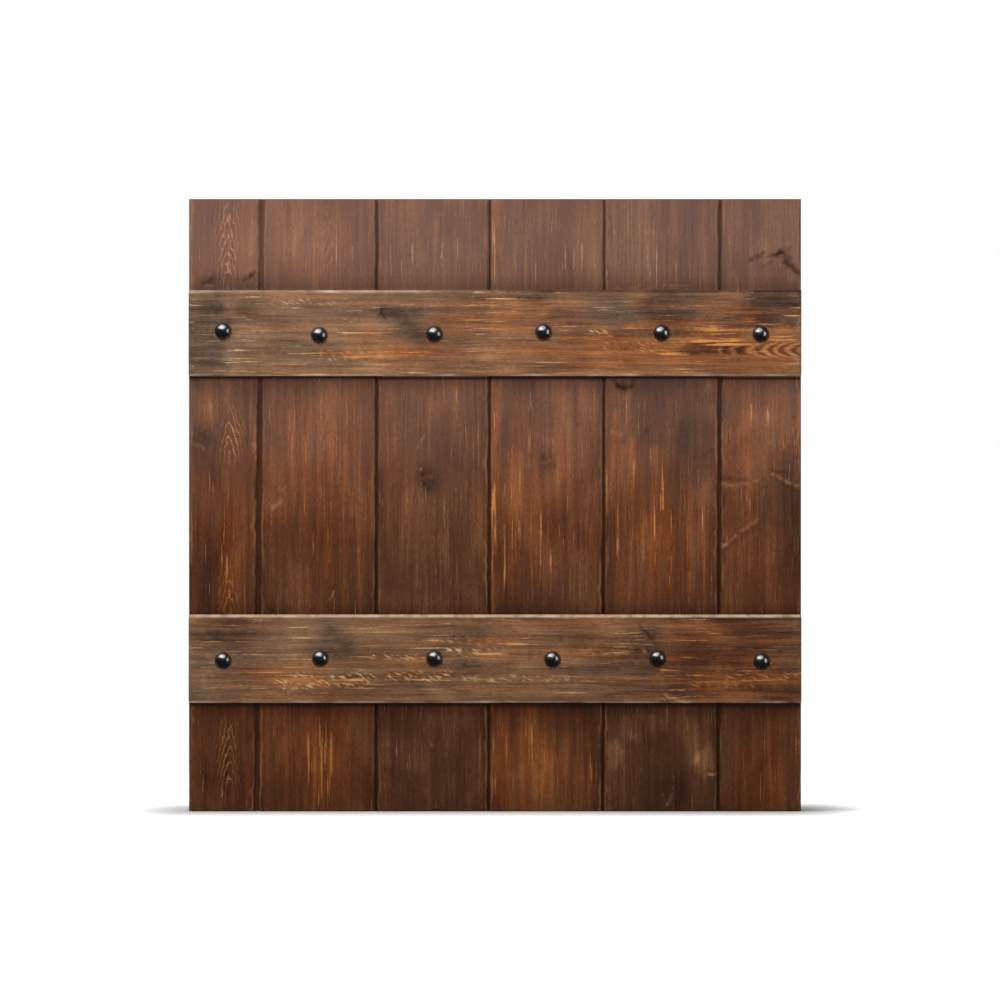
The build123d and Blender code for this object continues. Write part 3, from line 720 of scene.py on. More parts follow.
# Feathered grain on the ledges: first and last column, row, half height, strength and warmth
LEDGE_FEATHERS = (
    (280, 330, 680, 7, 0.95, 0.0), (288, 308, 687, 4, 0.85, 0.0), (342, 370, 680, 7, 1.0, 0.0),
    (392, 447, 676, 5, 0.8, 0.1), (376, 418, 657, 3, 0.9, 0.0), (450, 500, 652, 4, 0.8, 0.0),
    (466, 564, 678, 4, 0.6, -0.1), (570, 640, 652, 3, 0.4, 0.0), (608, 664, 347, 7, 0.5, 0.4),
    (690, 750, 684, 4, 0.4, 0.1), (594, 608, 333, 3, 0.9, 0.0), (325, 366, 355, 5, 0.5, 0.2),
    (276, 330, 302, 3, 0.5, 0.0), (440, 500, 641, 4, 0.4, 0.1), (730, 800, 677, 4, 0.6, 0.1),
)

# Thick nested arrows at a ledge's end: first and last column, row, half height and spacing
LEDGE_ARROWS = (724, 806, 350, 9, 14.0)

LEDGE_CRACKS = (
    (388, 309, 383, 309, 1.1, 0.7, 0.0), (383, 309, 381, 314, 1.2, 0.9, 0.0),
    (381, 314, 385, 318, 1.1, 0.8, 0.0), (326, 622, 349, 651, 6.0, 0.28, 0.0),
    (397, 315, 424, 340, 7.0, 0.42, 0.0), (641, 627, 655, 643, 1.5, 0.75, 0.0),
    (665, 695, 683, 702, 1.6, 0.0, 0.25), (289, 692, 297, 687, 1.5, 0.0, 0.15),
    (788, 289, 796, 289, 1.4, 0.6, 0.0), (189, 330, 191, 342, 1.4, 0.7, 0.3),
    (798, 323, 801, 342, 1.4, 0.2, 0.3), (793, 356, 801, 364, 1.6, 0.0, 0.25),
)


# Knots are longer than wide, and reach some radii. Streaks start and end a few pixels early.
KNOT_STRETCH = 1.4
KNOT_REACH = 8
STREAK_SPREAD = 1.5
STREAK_LEAD = 4


def wood_fields(cross, along, knots, patches, stains, streaks, zones, cracks):
    """The placed marks of a piece at pixel places across and along its grain.

    Each mark is a soft hump about its place, and firm ones have a ragged edge. Knots also
    push the grain aside, so that streaks flow round them.
    """
    names = ("growth", "tone", "warmth", "pale", "dark", "figure", "pit", "chalk")
    placed = {name: np.zeros_like(cross) for name in names}
    bent = cross.copy()
    for c, a, radius, depth, push in knots:
        away = np.hypot(cross - c, (along - a) / KNOT_STRETCH) / radius
        if away.min() > KNOT_REACH:
            continue
        ragged = away + 0.45 * ripple(cross / 1.8, along / 2.4, c) + 0.25 * ripple(cross / 5, along / 5, a)
        core = depth * step_up(1.05, 0.45, ragged)
        rim = bell((ragged - 1.7) / 0.35) * (ripple(cross / 3, along / 3, a) > 0.25)
        bent -= 0.75 * push * (cross - c) * bell(away / 2.2)
        placed["growth"] += push * radius * 0.9 * bell(away / 2.4)
        placed["dark"] += core + 0.22 * depth * bell((ragged - 1.5) / 0.6)
        placed["tone"] -= 0.14 * depth * bell(away / 3.0)
        placed["pale"] += 0.4 * depth * rim
        placed["pit"] += core
    for firm, marks in ((False, patches), (True, stains)):
        for c, a, reach_c, reach_a, tone, warmth in marks:
            away = np.hypot((cross - c) / reach_c, (along - a) / reach_a)
            if firm:
                away += 0.3 * ripple(cross / 8, along / 11, a) + 0.14 * ripple(cross / 2.6, along / 4, c)
                hump = step_up(1.45, 0.65, away)
            else:
                hump = bell(1.1 * away + 0.12 * ripple(cross / 9, along / 22, c))
            placed["tone"] += tone * hump
            placed["warmth"] += warmth * hump
    sway = 1.3 * ripple(along / 46, cross / 400, 3.0)
    for c, first, last, half, strength, warmth in streaks:
        off = (bent + sway - c) / (STREAK_SPREAD * half)
        run = (last - first) / 3
        body = bell(off) * step_up(first - STREAK_LEAD, first + run, along)
        body *= step_up(last + STREAK_LEAD, last - run, along)
        body *= 0.7 + 0.3 * ripple(along / 14, cross * 0 + c, 5.0)
        placed["pale"] += strength * body
        placed["warmth"] += warmth * bell(off / 2) * (body > 0.01)
    for c, a, reach_c, reach_a, strength in zones:
        placed["figure"] += strength * bell(np.hypot((cross - c) / reach_c, (along - a) / reach_a))
    for c0, a0, c1, a1, half, darkness, paleness in cracks:
        length = (c1 - c0) ** 2 + (a1 - a0) ** 2
        share = np.clip(((cross - c0) * (c1 - c0) + (along - a0) * (a1 - a0)) / length, 0, 1)
        off_c = cross - c0 - share * (c1 - c0) + 1.1 * ripple(along / 4, cross / 4, c0)
        off_a = along - a0 - share * (a1 - a0) + 1.1 * ripple(along / 4, cross / 4, a0)
        body = bell(np.hypot(off_c, off_a) / half)
        placed["dark"] += darkness * body
        placed["chalk"] += paleness * body
        placed["pit"] += (0.7 * darkness + 0.4 * paleness) * body
    for name in ("pale", "dark", "figure", "pit"):
        placed[name] = np.clip(placed[name], 0, 1)
    return {"bent": bent, **placed}


def timber_mesh(name, x, y, z, face, placed, along, growth, wear_and_highlight, seed):
    """A timber's carried mesh with the wood's fields: its grain in metres and its marks."""
    places = np.stack([x, y, z], axis=-1)
    mesh = fill_mesh(f"{name}_timber", places.reshape(-1, 3), *carried(places))
    bent = placed["bent"] + (y - face) / PIXEL * 0.7
    grain = np.stack([bent * PIXEL + seed * 0.37, along * PIXEL + seed * 0.83, growth], axis=-1)
    marks = np.stack([placed[key] for key in ("tone", "warmth", "pale", "dark")], axis=-1)
    add_field(mesh, "grain", "FLOAT_VECTOR", grain)
    add_field(mesh, "marks", "FLOAT_COLOR", marks)
    add_field(mesh, "figure", "FLOAT", placed["figure"])
    add_field(mesh, "wear_and_highlight", "FLOAT", np.clip(wear_and_highlight + placed["chalk"], 0, 1))
    return mesh


def chipped(size, along, seed, draw, least, chips, chip_pitch, swell_pitch):
    """How far an arris is worn along its length: a least wear, sharp chips and slow swells."""
    sharp = np.clip(ripple(along / chip_pitch, seed, draw), 0, 1)
    return size * (least + chips * sharp + 0.5 * ripple(along / swell_pitch, seed, draw + 1))


def grain_relief(bent, along, seed, layers):
    """Depth of the grain's ripples: the sum of (share, rate across, rate along) layers."""
    u, v = bent * PIXEL, along * PIXEL
    return sum(share * ripple(u * across, v * up, seed + number)
               for number, (share, across, up) in enumerate(layers))


def worn_down(relief, chips, edges, ends):
    """How far a face sinks: its relief with worn long edges, or its worn ends if deeper."""
    sink = relief + sum(np.clip(chip - edge, 0, None) for chip, edge in zip(chips, edges))
    return np.maximum(sink, np.clip(ends, 0, None))


# Boards

# Worn arrises: least wear, strength of chips, pitch of chips and pitch of swells, in pixels.
# Ripples: share of the relief, and rates across and along the grain.
BOARD_CHIPS = (1.0, 0.9, 7, 31)
BOARD_RIPPLES = ((0.1, 700, 9), (0.16, 230, 5), (0.25, 30, 3))
BOARD_END_STEPS = np.array([0.0, 0.5, 1.2, 2.2, 3.5]) * MM
FIRST_SEAM_CHIP = 2.2 * MM
# Painted shade at the seams: the width of the dark line at each edge, and how far the soft darkening beside
# it reaches
SEAM_SHADE = 1.0 * MM
SEAM_SHADE_REACH = 11 * MM
EDGE_STEPS = np.array([0.0, 0.4, 0.8, 1.3, 1.9, 2.6, 3.5, 4.6, 6.0]) * MM
POCKET_RINGS = np.array([0.0, 3.25, 6.5, 9.75, 13.0, 13.1, 16.5, 20.0]) * MM
POCKET_ROUND = 5
POCKET_FLOOR = 4
BACK_STEPS = 5


def seam_place(number, z):
    """Where a seam is at a height: its mid-height place with its lean."""
    lean = ((z - LEAF_FOOT) / LEAF_HEIGHT - 0.5) * SEAM_LEAN_SHARES[number] * LEAF_HEIGHT
    return LEAF_LEFT + SEAM_SHARES[number] * LEAF_WIDTH + lean


def board_sides(number, z):
    """The left and right faces of a board at each height."""
    left = np.full_like(z, LEAF_LEFT)
    right = np.full_like(z, LEAF_RIGHT)
    if number > 0:
        left = seam_place(number - 1, z) + SEAM_GAPS[number - 1] / 2
    if number < len(SEAM_GAPS):
        right = seam_place(number, z) - SEAM_GAPS[number] / 2
    return left, right


def both_ways(steps):
    """Steps on both sides of zero, in rising order."""
    return np.concatenate([-steps[:0:-1], steps])


def sunk_pocket(x, y, z, row, column, depth):
    """Turns a square patch of a grid into a round flat pocket.

    Square rings of the grid become circles, the inner ones sunk to the floor and the
    next one left at the face, so that the wall between them stands upright.
    """
    count = len(POCKET_RINGS) - 1
    rows = slice(row - count, row + count + 1)
    columns = slice(column - count, column + count + 1)
    middle_x, middle_z = x[row, column], z[row, column]
    i = np.sign(x[row, columns] - middle_x) * np.abs(np.arange(-count, count + 1))
    j = np.arange(-count, count + 1)
    i, j = np.meshgrid(i, j)
    ring = np.maximum(np.abs(i), np.abs(j)).astype(int)
    wide = np.abs(i) >= np.abs(j)
    safe_i, safe_j = np.where(i == 0, 1, i), np.where(j == 0, 1, j)
    turn = np.where(wide, np.pi / 4 * j / safe_i + np.pi * (i < 0),
                    np.pi / 2 - np.pi / 4 * i / safe_j + np.pi * (j < 0))
    round_share = np.clip((count - ring) / (count - POCKET_ROUND), 0, 1)
    radius = POCKET_RINGS[ring]
    x[rows, columns] += round_share * (middle_x + radius * np.cos(turn) - x[rows, columns])
    z[rows, columns] += round_share * (middle_z + radius * np.sin(turn) - z[rows, columns])
    y[rows, columns] -= depth * (ring <= POCKET_FLOOR)


def bolt_places():
    """The bolts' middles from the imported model, as two rows of (x, z) from left to right."""
    found = sorted(middles(parts_of("coach_bolts", (0, 2), 25 * MM)), key=lambda place: place[0])
    level = (LEAF_FOOT + LEAF_TOP) / 2
    upper = [(p[0], p[2]) for p in found if p[2] > level]
    lower = [(p[0], p[2]) for p in found if p[2] < level]
    return upper, lower


def side_points(number):
    """Points back along a board's right side and forward along its left: (offset, y)."""
    middle = (BOARD_FRONT + BOARD_BACK) / 2
    plain = BOARD_FRONT + np.linspace(0.3, 1.0, 8)[:-1] * (BOARD_BACK - BOARD_FRONT)
    right, left = [(0.0, y) for y in plain], [(0.0, y) for y in plain[::-1]]
    if number < len(SEAM_GAPS):
        reach = SEAM_GAPS[number] + TONGUE_ENGAGEMENT
        low, high = middle - TONGUE_HALF, middle + TONGUE_HALF
        right = [(0.0, low), (reach - MM, low), (reach, low + MM), (reach, high - MM), (reach - MM, high),
                 (0.0, high)]
    if number > 0:
        floor, half = TONGUE_ENGAGEMENT + GROOVE_END_CLEARANCE, TONGUE_HALF + GROOVE_CLEARANCE
        left = [(0.0, middle + half), (floor, middle + half), (floor, middle - half), (0.0, middle - half)]
    return right, left


def back_places(z, left, right, bolts):
    """Places across a board's back from right to left, with pocket rings about its bolts."""
    (high_x, high_z), (low_x, low_z) = bolts
    reach = POCKET_RINGS[-1]
    near_low = np.abs(z - low_z) <= reach + 1e-6
    near_high = np.abs(z - high_z) <= reach + 1e-6
    share = np.clip((z - low_z - reach) / (high_z - low_z - 2 * reach), 0, 1)
    bolt_x = np.where(near_low, low_x, np.where(near_high, high_x, low_x + share * (high_x - low_x)))[:, None]
    spread = np.arange(BACK_STEPS) / BACK_STEPS
    return np.concatenate([right + spread * (bolt_x + reach - right), bolt_x + both_ways(POCKET_RINGS)[::-1],
                           (left + spread * (bolt_x - reach - left))[:, ::-1]], axis=1)


def paint_ledge_shadows(placed, facing, z):
    """Paints shadow on the boards' fronts just under each ledge, and painted shade in the crease just over
    the lower one.
    """
    for number, name in enumerate(LEDGE_NAMES):
        low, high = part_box(name)
        under, over = low.z - z, z - high.z
        shadow = 0.8 * step_up(4.2 * MM, 2.4 * MM, under) + 0.2 * step_up(9 * MM, 3 * MM, under)
        placed["dark"] += facing * (under > 0) * shadow
        placed["tone"] -= facing * (under > 0) * 0.16 * step_up(22 * MM, 2 * MM, under)
        placed["dark"] += 0.2 * number * facing * (over > 0) * step_up(2.5 * MM, 0.5 * MM, over)


def board_mesh(number, bolts, sizes):
    """One board: its tongue-and-groove section carried up its height.

    The section's front has many points, and each sinks by grain ripples, marks and a
    rounded and chipped arris. The back has a round pocket at each bolt.
    """
    seed = number + 1.0
    first, last = number == 0, number == len(SEAM_GAPS)
    bolt_levels = [level for _, level in bolts[::-1]]
    rings = [level + both_ways(POCKET_RINGS) for level in bolt_levels]
    z = filled([*(LEAF_FOOT + BOARD_END_STEPS), *np.concatenate(rings), *(LEAF_TOP - BOARD_END_STEPS[::-1])],
               sizes.grain_step)
    left, right = (side[:, None] for side in board_sides(number, z))
    wide = float(np.mean(right - left))
    shares = filled([*EDGE_STEPS, *(wide - EDGE_STEPS[::-1])], sizes.cross_step) / wide
    right_side, left_side = (np.array(side) for side in side_points(number))
    front, back = left + shares * (right - left), back_places(z, left, right, bolts)
    x = np.concatenate([front, right + right_side[:, 0], back, left + left_side[:, 0]], axis=1)
    level = np.concatenate([np.full(front.shape[1], BOARD_FRONT), right_side[:, 1],
                            np.full(back.shape[1], BOARD_BACK), left_side[:, 1]])
    y = np.tile(level, (len(z), 1))
    z = np.tile(z[:, None], (1, x.shape[1]))
    facing = (np.arange(x.shape[1]) < front.shape[1]).astype(float)

    columns, rows = picture_place(x, z)
    placed = wood_fields(columns, rows, BOARD_KNOTS, BOARD_PATCHES, BOARD_STAINS, BOARD_STREAKS,
                         BOARD_FIGURE, BOARD_CRACKS)
    heart, depth, swing = BOARD_HEARTS[number]
    beat = 2 * np.pi * (z - ARCH_START) / ARCH_PITCH
    off = (columns - heart) * PIXEL + 2.5 * MM * ripple(rows / 60, columns * 0, seed + 9)
    growth = 1.3 * np.hypot(off, depth) + swing * np.sin(beat) + 0.7 * (y - BOARD_FRONT)
    growth += placed["growth"] * PIXEL
    placed["figure"] *= step_up(-0.3, 0.3, np.cos(beat))

    edges = x - left, right - x
    chips = [chipped(sizes.arris, rows, seed, draw, *BOARD_CHIPS) for draw in (1.0, 3.0)]
    if first:
        torn = ripple(rows / 11, seed, 5.0) + 0.3 * ripple(rows / 4, seed, 6.0)
        chips[1] += FIRST_SEAM_CHIP * np.clip(torn, 0, 1)
    ends = sizes.arris * (0.8 + 0.5 * ripple(columns / 8, seed, 7.0))
    ends -= np.minimum(z - LEAF_FOOT, LEAF_TOP - z)
    relief = 0.5 + grain_relief(placed["bent"], rows, seed, BOARD_RIPPLES) + 2.2 * placed["pit"]
    relief -= 0.35 * placed["figure"] * np.sin(growth / BOARD_RING * 2 * np.pi)
    y += facing * worn_down(sizes.relief * relief, chips, edges, ends)

    near_edge = np.minimum(*[edge / np.maximum(chip, MM) for edge, chip in zip(edges, chips)])
    rubbed = np.clip(0.3 + 0.5 * ripple(rows / 24, columns / 60, seed + 3), 0, 1)
    wear_and_highlight = facing * 0.42 * rubbed * step_up(2.6, 1.4, near_edge) * step_up(0.5, 1.0, near_edge)
    for name in ("tone", "warmth", "pale", "figure", "chalk"):
        placed[name] *= facing
    paint_ledge_shadows(placed, facing, z)
    # Painted shade at the seams: a soft darkening of the face beside each seam, a ragged dark line along its
    # edges and darkened faces inside the gaps, all fainter high up and low down
    nearest = np.minimum(edges[0] + float(first), edges[1] + float(last))
    placed["tone"] -= 0.1 * facing * step_up(SEAM_SHADE_REACH, 0.0, nearest)
    widths = [0.0 if first else SEAM_SHADE, 0.0 if last else SEAM_SHADE]
    if first:
        widths[1] = np.maximum(0.8 * chips[1], SEAM_SHADE)
    ragged = 1 + 0.5 * ripple(rows / 6, seed, 8.0) + 0.4 * ripple(rows / 40, seed, 9.0)
    shaded = np.maximum(*[step_up(2.0, 0.2, edge / np.maximum(width * ragged, 1e-6))
                          for edge, width in zip(edges, widths)])
    inside = (1 - facing) * (np.abs(y - BOARD_BACK) > 1e-6)
    fade = 1 - 0.75 * step_up(420, 260, rows) - 0.4 * step_up(640, 715, rows)
    placed["dark"] = np.clip(placed["dark"] + fade * (0.5 * shaded * facing + 0.3 * inside), 0, 1)

    bolt_column = front.shape[1] + len(right_side) + back.shape[1] // 2
    for height in bolt_levels:
        row = int(np.argmin(np.abs(z[:, 0] - height)))
        sunk_pocket(x, y, z, row, bolt_column, POCKET_DEPTH)
    return timber_mesh(BOARD_NAMES[number], x, y, z, BOARD_FRONT, placed, rows, growth, wear_and_highlight, seed)


def mark_ends(mesh):
    """Gives a carried mesh's two end faces, its last ones, the second finish."""
    index = np.zeros(len(mesh.polygons), np.int32)
    index[-2:] = 1
    mesh.polygons.foreach_set("material_index", index)


# Ledges

LEDGE_SEED = 11.0
LEDGE_LOW_CHIPS = (1.2, 1.3, 9, 37)
LEDGE_HIGH_CHIPS = (1.2, 1.5, 8, 41)
LEDGE_RIPPLES = ((0.14, 700, 9), (0.24, 210, 5), (0.3, 34, 3))
LEDGE_RELIEF = 1.3
LEDGE_END_STEPS = np.array([0.0, 0.6, 1.4, 2.4, 3.6, 5.0]) * MM


def swapped(marks, pairs):
    """Marks whose first pairs of values, given by column and row, change places."""
    order = [place ^ 1 for place in range(2 * pairs)]
    return [(*[mark[place] for place in order], *mark[2 * pairs:]) for mark in marks]


def add_figure(placed, columns, rows):
    """Adds the ledges' feathered strokes and the nested arrows at an end.

    A feather is a wavering strip with soft ends. The arrows are a sine of the column,
    bent back by the square of the distance from their middle row.
    """
    for first, last, row, half, strength, warm in LEDGE_FEATHERS:
        waver = row + 1.5 * ripple(columns / 13, rows * 0, first)
        beyond = np.clip(np.abs(columns - (first + last) / 2) - (last - first) / 2, 0, None)
        reach = np.hypot(beyond / 6, (rows - waver) / half)
        placed["figure"] = np.maximum(placed["figure"], strength * step_up(1.3, 0.5, reach))
        placed["warmth"] += warm * step_up(1.6, 0.6, reach)
    first, last, row, half, pitch = LEDGE_ARROWS
    widening = half * (0.45 + 0.55 * step_up(first, last, columns))
    reach = np.hypot(np.clip(first - columns, 0, None) / 8, (rows - row) / widening)
    wave = columns + 7 * ripple(columns / 23, rows / 12, 3.0) + 2 * ripple(columns / 5, rows / 4, 4.0)
    crest = np.sin(2 * np.pi * (wave - (rows - row) ** 2 / 3.4) / pitch)
    placed["tone"] += step_up(1.4, 0.6, reach) * (0.03 + 0.26 * crest)
    placed["warmth"] += 0.5 * step_up(1.6, 0.8, reach)


def ledge_mesh(name, number, sizes):
    """One ledge: a rectangular section carried across the leaf, with rubbed, chipped arrises, and a pale top
    arris that is partly wear and partly painted highlight.
    """
    low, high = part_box(name)
    seed = LEDGE_SEED + number
    x = filled([*(low.x + LEDGE_END_STEPS), *(high.x - LEDGE_END_STEPS[::-1])], sizes.grain_step * 0.85)
    front = filled([*(low.z + EDGE_STEPS), *(high.z - EDGE_STEPS[::-1])], sizes.cross_step)[::-1]
    side = low.y + np.linspace(0.22, 1.0, 9) * (high.y - low.y)
    back = np.linspace(low.z, high.z, 8)[1:-1]
    z = np.concatenate([front, np.full(len(side), low.z), back, np.full(len(side), high.z)])
    y = np.concatenate([np.full(len(front), low.y), side, np.full(len(back), high.y), side[::-1]])
    facing = (np.arange(len(z)) < len(front)).astype(float)
    x = np.tile(x[:, None], (1, len(z)))
    y, z = np.tile(y, (len(x), 1)), np.tile(z, (len(x), 1))

    columns, rows = picture_place(x, z)
    streaks = [(row, first, last, *rest) for first, last, row, *rest in LEDGE_STREAKS]
    placed = wood_fields(rows, columns, swapped(LEDGE_KNOTS, 1), swapped(LEDGE_PATCHES, 2),
                         swapped(LEDGE_STAINS, 2), streaks, (), swapped(LEDGE_CRACKS, 2))
    add_figure(placed, columns, rows)

    edge_low, edge_high = z - low.z, high.z - z
    chips = [chipped(sizes.arris, columns, seed, 1.0, *LEDGE_LOW_CHIPS),
             chipped(sizes.arris, columns, seed, 3.0, *LEDGE_HIGH_CHIPS)]
    ends = sizes.arris * (1.2 + 1.6 * np.clip(ripple(rows / 4, seed, 6.0), 0, 1))
    ends -= np.minimum(x - low.x, high.x - x)
    relief = 0.6 + grain_relief(placed["bent"], columns, seed, LEDGE_RIPPLES)
    relief += 2.0 * placed["pit"] + 0.5 * placed["pale"]
    y += facing * worn_down(sizes.relief * LEDGE_RELIEF * relief, chips, (edge_low, edge_high), ends)

    # The pale line along the top arris is partly wear and partly a painted highlight; the pale line at the
    # foot is wear.
    patchy = ripple(columns / 22, rows * 0, seed + 5)
    arris = step_up(4.4 * MM, 2.0 * MM, edge_high)
    if number == 0:
        strength = 0.6 * step_up(510, 420, columns) + 0.3 * bell((columns - 345) / 24)
        strength = strength * (0.75 + 0.5 * patchy)
        # Painted shade: the upper ledge's top arris is darkened on its right part.
        placed["dark"] += 0.55 * facing * step_up(480, 540, columns) * arris * (0.8 + 0.3 * patchy)
    else:
        strength = 0.85 + 0.15 * patchy
        below_arris = step_up(4.0 * MM, 5.0 * MM, edge_high) * step_up(9.0 * MM, 5.0 * MM, edge_high)
        placed["tone"] -= 0.16 * facing * below_arris * (0.4 + 0.6 * step_up(480, 620, columns))
    foot = step_up(3.2 * MM, 1.2 * MM, edge_low) * (0.35 + 0.4 * ripple(columns / 18, rows * 0, seed + 6))
    wear_and_highlight = np.clip(facing * (strength * arris + 0.7 * foot), 0, 1)
    placed["dark"] = np.clip(placed["dark"], 0, 1)
    for key in ("pale", "figure", "chalk"):
        placed[key] *= facing
    return timber_mesh(name, x, y, z, low.y, placed, columns, np.zeros_like(x), wear_and_highlight, seed)


# Turned fittings


def turned(profile, segments):
    """A profile of (radius, height) points turned about an axis, as rows of places round it."""
    turn = np.linspace(0, 2 * np.pi, segments, endpoint=False)
    radius, height = np.asarray(profile).T
    ring = np.stack([np.cos(turn), np.sin(turn)], axis=-1)
    places = np.concatenate([radius[:, None, None] * ring,
                             np.broadcast_to(height[:, None, None], (len(radius), segments, 1))], axis=-1)
    return places


def stood(places, origin, out, side):
    """Places about a Z axis, moved so that Z runs out from an origin."""
    out, side = np.array(out, float), np.array(side, float)
    frame_axes = np.stack([side, np.cross(out, side), out])
    return np.asarray(places) @ frame_axes + np.array(origin)


def gathered(name, shells, looped=False):
    """One mesh from several carried shells, each closed by its own end faces or looped."""
    places, quads, caps, count = [], [], [], 0
    for shell in shells:
        shell_quads, shell_caps = carried(shell, looped)
        places.append(shell.reshape(-1, 3))
        quads.append(shell_quads + count)
        caps.extend(cap + count for cap in shell_caps)
        count += shell.shape[0] * shell.shape[1]
    return fill_mesh(name, np.concatenate(places), np.concatenate(quads), caps)


def bolt_shell():
    """A coach bolt: a domed head on a thin rim, a plain shank and a threaded end.

    The dome is part of a ball, and the thread is a saw wave of height and turn.
    """
    ball = (HEAD_RADIUS**2 + HEAD_HEIGHT**2) / (2 * HEAD_HEIGHT)
    lean = np.linspace(math.asin(HEAD_RADIUS / ball), 0.03, 22)
    dome = np.stack([ball * np.sin(lean), HEAD_HEIGHT - ball + ball * np.cos(lean)], axis=-1)
    dome[:, 1] = np.maximum(dome[:, 1], 0.35 * MM)
    length = LEDGE_FRONT - (BOARD_BACK - 1.0 * MM)
    thread = np.linspace(length, length + 8 * MM, 33)
    shank = np.stack([np.full(len(thread), BOLT_RADIUS), thread], axis=-1)
    below = [(BOLT_RADIUS - 0.6 * MM, length)]
    foot = [(BOLT_RADIUS, -0.5 * MM), (HEAD_RADIUS - 0.5 * MM, -0.02 * MM), (HEAD_RADIUS, 0.1 * MM)]
    profile = np.concatenate([below, shank, foot, dome])
    places = turned(profile, 48)
    turn = np.linspace(0, 1, 48, endpoint=False)
    rows = slice(len(below), len(below) + len(thread))
    saw = np.abs(((thread[:, None] / BOLT_PITCH + turn) % 1.0) - 0.5)
    places[rows, :, :2] *= (1 - 0.16 * saw)[..., None]
    return places


def washer_shell():
    """A flat washer: a rounded strip turned about the bolt, to be looped on itself."""
    inner, outer, thick, ease = 4.4 * MM, 12.0 * MM, WASHER_THICK, 0.25 * MM
    profile = [(inner, ease), (inner + ease, 0), (outer - ease, 0), (outer, ease), (outer, thick - ease),
               (outer - ease, thick), (inner + ease, thick), (inner, thick - ease)]
    return turned(profile, 40)


def nut_shell():
    """A hexagon nut: the lesser of a hexagon and a chamfer cone at each height, with a bore."""
    flat, height, chamfer = 6.5 * MM, 6.5 * MM, 0.9 * MM
    turn = np.linspace(0, 2 * np.pi, 96, endpoint=False)
    hexagon = flat / np.cos((turn + np.pi / 6) % (np.pi / 3) - np.pi / 6)
    levels = np.concatenate([np.linspace(0, chamfer, 5), np.linspace(height - chamfer, height, 5)])
    cone = flat * 0.97 + np.minimum(levels, height - levels) * 1.6
    bore = np.full((2, len(turn)), BOLT_RADIUS - 0.1 * MM)
    radius = np.concatenate([np.minimum(hexagon, cone[:, None]), bore])
    level = np.concatenate([levels, [height, 0.0]])[:, None]
    return np.stack([radius * np.cos(turn), radius * np.sin(turn), np.broadcast_to(level, radius.shape)],
                    axis=-1)


# Screws: radii of head, thread and core, pitch, depth of the cross and turn from one to the next
SCREW_HEAD = 3.85 * MM
SCREW_SHANK = 2.1 * MM
SCREW_CORE = 1.6 * MM
SCREW_PITCH = 2.4 * MM
CROSS_DEPTH = 1.3 * MM
SCREW_TURN = 1.7


def screw_shell(length):
    """A countersunk wood screw: a helical thread, a cone head and a cross sunk in its top.

    The thread's radius is a saw wave of height and turn. The top is a disc of rings that
    sinks where a point is near either arm of the cross.
    """
    thread = np.linspace(-length + 4 * MM, -0.45 * length, 36)
    rings = np.linspace(SCREW_HEAD, 0.15 * MM, 12)
    profile = [(0.3 * MM, -length), *[(SCREW_SHANK, level) for level in thread],
               (SCREW_CORE, -0.43 * length), (SCREW_SHANK, -0.42 * length), (SCREW_SHANK, -2.1 * MM),
               (SCREW_HEAD, -0.35 * MM), *[(radius, -0.1 * MM) for radius in rings]]
    places = turned(profile, 40)
    turn = np.linspace(0, 1, 40, endpoint=False)
    saw = np.abs((thread[:, None] / SCREW_PITCH + turn) % 1.0 - 0.5) * 2
    radius = SCREW_CORE + (SCREW_SHANK - SCREW_CORE) * np.clip(1.6 * saw - 0.6, 0, 1)
    radius *= step_up(-length + 1 * MM, -length + 7 * MM, thread)[:, None] * 0.6 + 0.4
    places[1:1 + len(thread), :, :2] *= (radius / SCREW_SHANK)[..., None]
    top = places[-len(rings):]
    wide, tall = np.abs(top[..., 0]), np.abs(top[..., 1])
    arm = step_up(0.75 * MM, 0.4 * MM, np.minimum(wide, tall))
    top[..., 2] -= CROSS_DEPTH * arm * step_up(2.4 * MM, 1.5 * MM, np.maximum(wide, tall))
    return places


def pin_shell(low, high):
    """A hinge pin: a plain shaft with a button head at each end, eased at its rims."""
    shaft, head, rim, ease, tip = 2.5 * MM, 4.2 * MM, 2.0 * MM, 1.2 * MM, 0.2 * MM
    button = [(head - ease + ease * math.sin(turn), rim - ease + ease * math.cos(turn))
              for turn in np.linspace(0.06, math.pi / 2, 7)]
    upper = [(head, 0.0), *button[::-1]]
    lower = [(radius, low + rim - level) for radius, level in upper[::-1]]
    upper = [(radius, high - rim + level) for radius, level in upper]
    shank = [(shaft, low + rim), (shaft, high - rim)]
    return turned([(tip, low), *lower, *shank, *upper, (tip, high)], 40)


def pad_shell(low, high):
    """A moulded pad: rounded oblong rings that step in towards its face, with a shallow dish."""
    wide, tall, thick = (high - low)[0], (high - low)[2], (high - low)[1]
    corner = 4.0 * MM
    turn = np.linspace(0, 2 * np.pi, 64, endpoint=False)
    bulge = np.stack([np.cos(turn), np.sin(turn)], axis=-1)
    centre = np.sign(bulge) * (np.array([wide, tall]) / 2 - corner)
    insets = np.array([0.3, 0.0, 0.0, 0.25, 0.8, 1.5, 3.6, 4.2, 5.0, 6.0]) * MM
    levels = np.array([0.0, 0.12, 0.75, 0.9, 0.97, 1.0, 1.0, 0.93, 0.82, 0.78]) * thick
    edge = np.maximum(corner - insets, 0.4 * MM)
    flat = np.sign(bulge) * np.maximum(np.abs(centre) - (insets - (corner - edge))[:, None, None], 0.2 * MM)
    outline = flat + edge[:, None, None] * bulge
    x = (low[0] + high[0]) / 2 + outline[..., 0]
    z = (low[2] + high[2]) / 2 + outline[..., 1]
    y = high[1] - np.broadcast_to(levels[:, None], x.shape)
    return np.stack([x, y, z], axis=-1)


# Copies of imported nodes: points nearer than this are joined, edges sharper than this rounded
MERGE_DISTANCE = 0.005 * MM
SHARP_ANGLE = math.radians(28)


